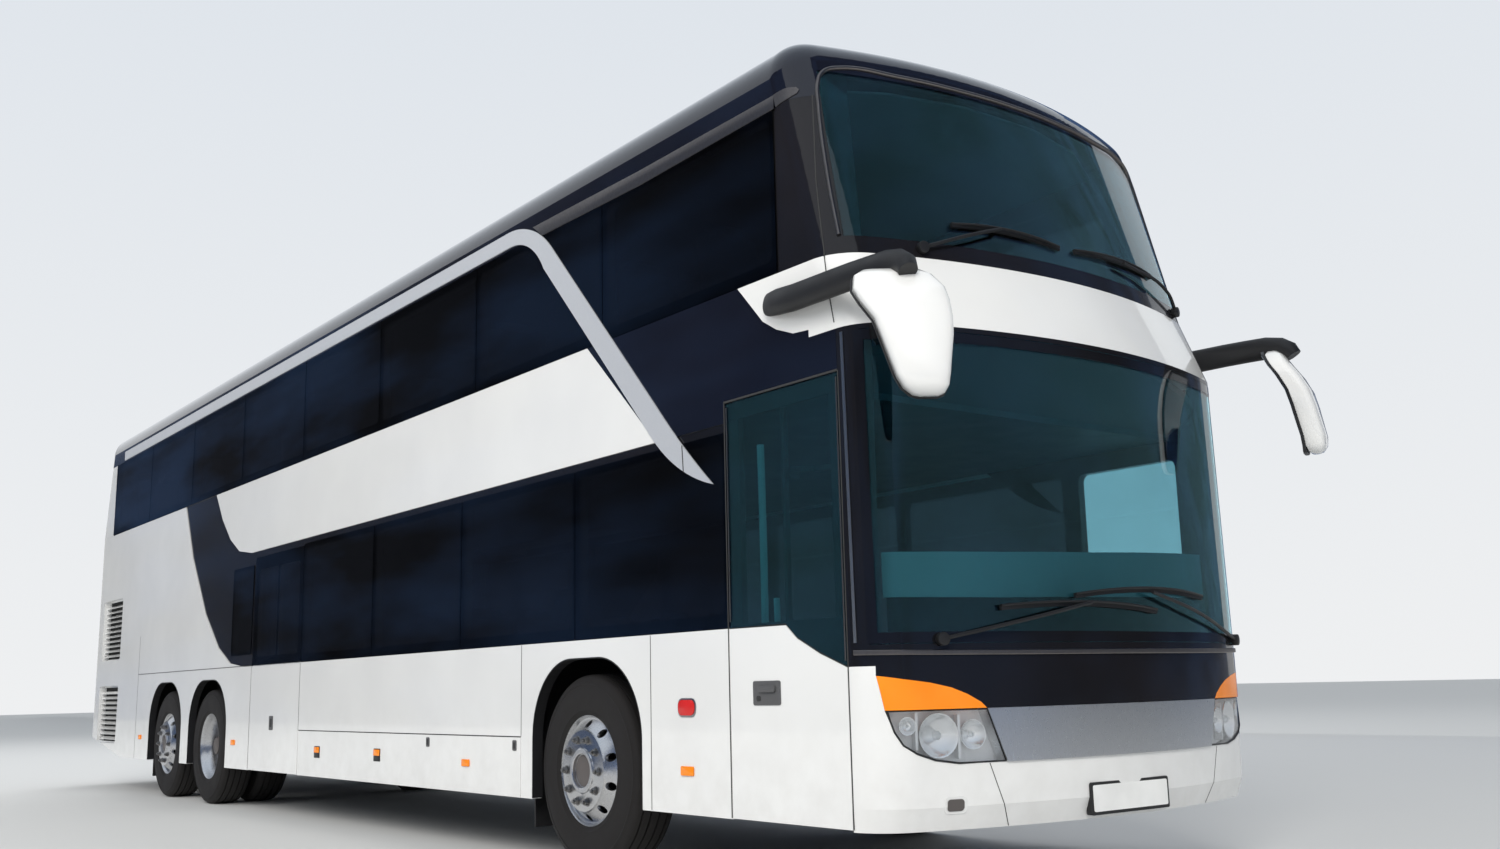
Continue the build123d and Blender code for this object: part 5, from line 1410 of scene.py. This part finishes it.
def tail_plate(name, outline, out, depth, step=0.15):
    """A flat outline in (s, z), cut into strips, given its depth and wrapped round the tail."""
    piece = strips(name, outline, [k * step for k in range(-10, 11)])
    bpy.ops.mesh.select_all(action="SELECT")
    bpy.ops.mesh.extrude_region_move(TRANSFORM_OT_translate={"value": (0, -1, 0)})
    clear()
    for vertex in piece.data.vertices:
        vertex.co = tail_point(vertex.co.x, vertex.co.z, out + (depth if vertex.co.y < -0.5 else 0))
    return smooth(face_out(piece))


print("tail runs", round(tail_run, 3), "to the corner")

# %% Tail lamps, plate and grille
lamp_tiles = (
    ("darks", 0.972, 1.172, 0.765, 1.195, 0.0003, 0.0012, 0.030),
    ("reds", 0.984, 1.160, 1.035, 1.183, 0.0015, 0.007, 0.022),
    ("ambers", 0.984, 1.160, 0.915, 1.027, 0.0015, 0.007, 0.016),
    ("clears", 0.984, 1.160, 0.845, 0.907, 0.0015, 0.007, 0.012),
    ("reds", 0.984, 1.160, 0.777, 0.837, 0.0015, 0.007, 0.016),
    ("reds", 1.010, 1.110, 3.560, 3.600, 0.0003, 0.007, 0.012),
    ("reds", 0.900, 1.020, 0.585, 0.625, 0.0003, 0.006, 0.008),
)
tiles = {"ambers": [], "clears": [], "reds": [], "darks": []}
slats, slat_backs = [], []
for way in (1, -1):
    for kind, s0, s1, z0, z1, proud, depth, radius in lamp_tiles:
        line = [(way * s, z) for s, z in rounded(s0, s1, z0, z1, radius, 3)]
        tiles[kind].append(tail_plate("tail_tile", line, proud, depth, 0.04))
    for z in [1.070 + 0.042 * k for k in range(8)]:
        line = [(way * s, v) for s, v in rounded(0.34, 0.80, z, z + 0.022, 0.008, 2)]
        slats.append(tail_plate("grille_slat", line, 0.0008, 0.005))
    line = [(way * s, v) for s, v in rounded(0.31, 0.83, 1.045, 1.415, 0.03, 4)]
    slat_backs.append(tail_plate("grille_back", line, 0.0002, 0.001))
tiles["reds"].append(tail_plate("brake_light", rounded(-0.26, 0.26, 3.560, 3.592, 0.008, 3), 0.0003, 0.007))
dress(joined("tail_lamp_reds", tiles["reds"]), red_lens, "coach", "red_lens")
dress(joined("tail_lamp_ambers", tiles["ambers"]), amber_lens, "coach", "amber_lens")
dress(joined("tail_lamp_clears", tiles["clears"]), sign_white, "coach", "clear_lens")
dress(joined("tail_lamp_surrounds", tiles["darks"]), black_plastic, "coach", "trim")
dress(joined("lid_grille_slats", slats), white_paint, "engine_lid", "white_paint")
dress(joined("lid_grille_backs", slat_backs), black_plastic, "engine_lid", "trim")
lid_grip = tail_plate("lid_grip", rounded(-0.13, 0.13, 0.775, 0.825, 0.018, 4), 0.0002, 0.0006)
dress(lid_grip, hub_dark, "engine_lid", "trim")
rear_holder = tail_plate("rear_plate_holder", rounded(-0.270, 0.270, 0.560, 0.688, 0.010), 0.0001, 0.0004)
rear_blank = tail_plate("rear_plate_blank", rounded(-0.260, 0.260, 0.568, 0.680, 0.008), 0.0006, 0.0003)
dress(rear_holder, black_plastic, "coach", "trim")
dress(rear_blank, sign_white, "coach", "white_paint")
print("tail dressed")

# %% Seal round the rear window and roof hatches
def roof_tile(name, x, half, radius, z):
    """A rounded square lying on the roof."""
    line = [(along(x) + px, py, z) for px, py in rounded(-half, half, -half, half, radius, 4)]
    return plate(name, line, (0, 0, 0.0004))


window_line = rounded(-0.905, 0.905, 2.935, 3.545, 0.05, 4)
seal = bar("rear_window_seal", [tail_point(s, z, 0.001) for s, z in window_line], 0.009, closed=True)
dress(seal, soft_black, "coach", "trim")
hatch_places = (-7.9, -2.6)
hatches = [roof_tile("roof_hatch", x, 0.36, 0.06, 4.0001) for x in hatch_places]
rings = [roof_tile("hatch_seal", x, 0.385, 0.07, 3.9999) for x in hatch_places]
dress(joined("roof_hatches", hatches), hub_dark, "coach", "roof_paint")
dress(joined("hatch_seals", rings), soft_black, "coach", "trim")
print("roof hatches:", len(hatches))
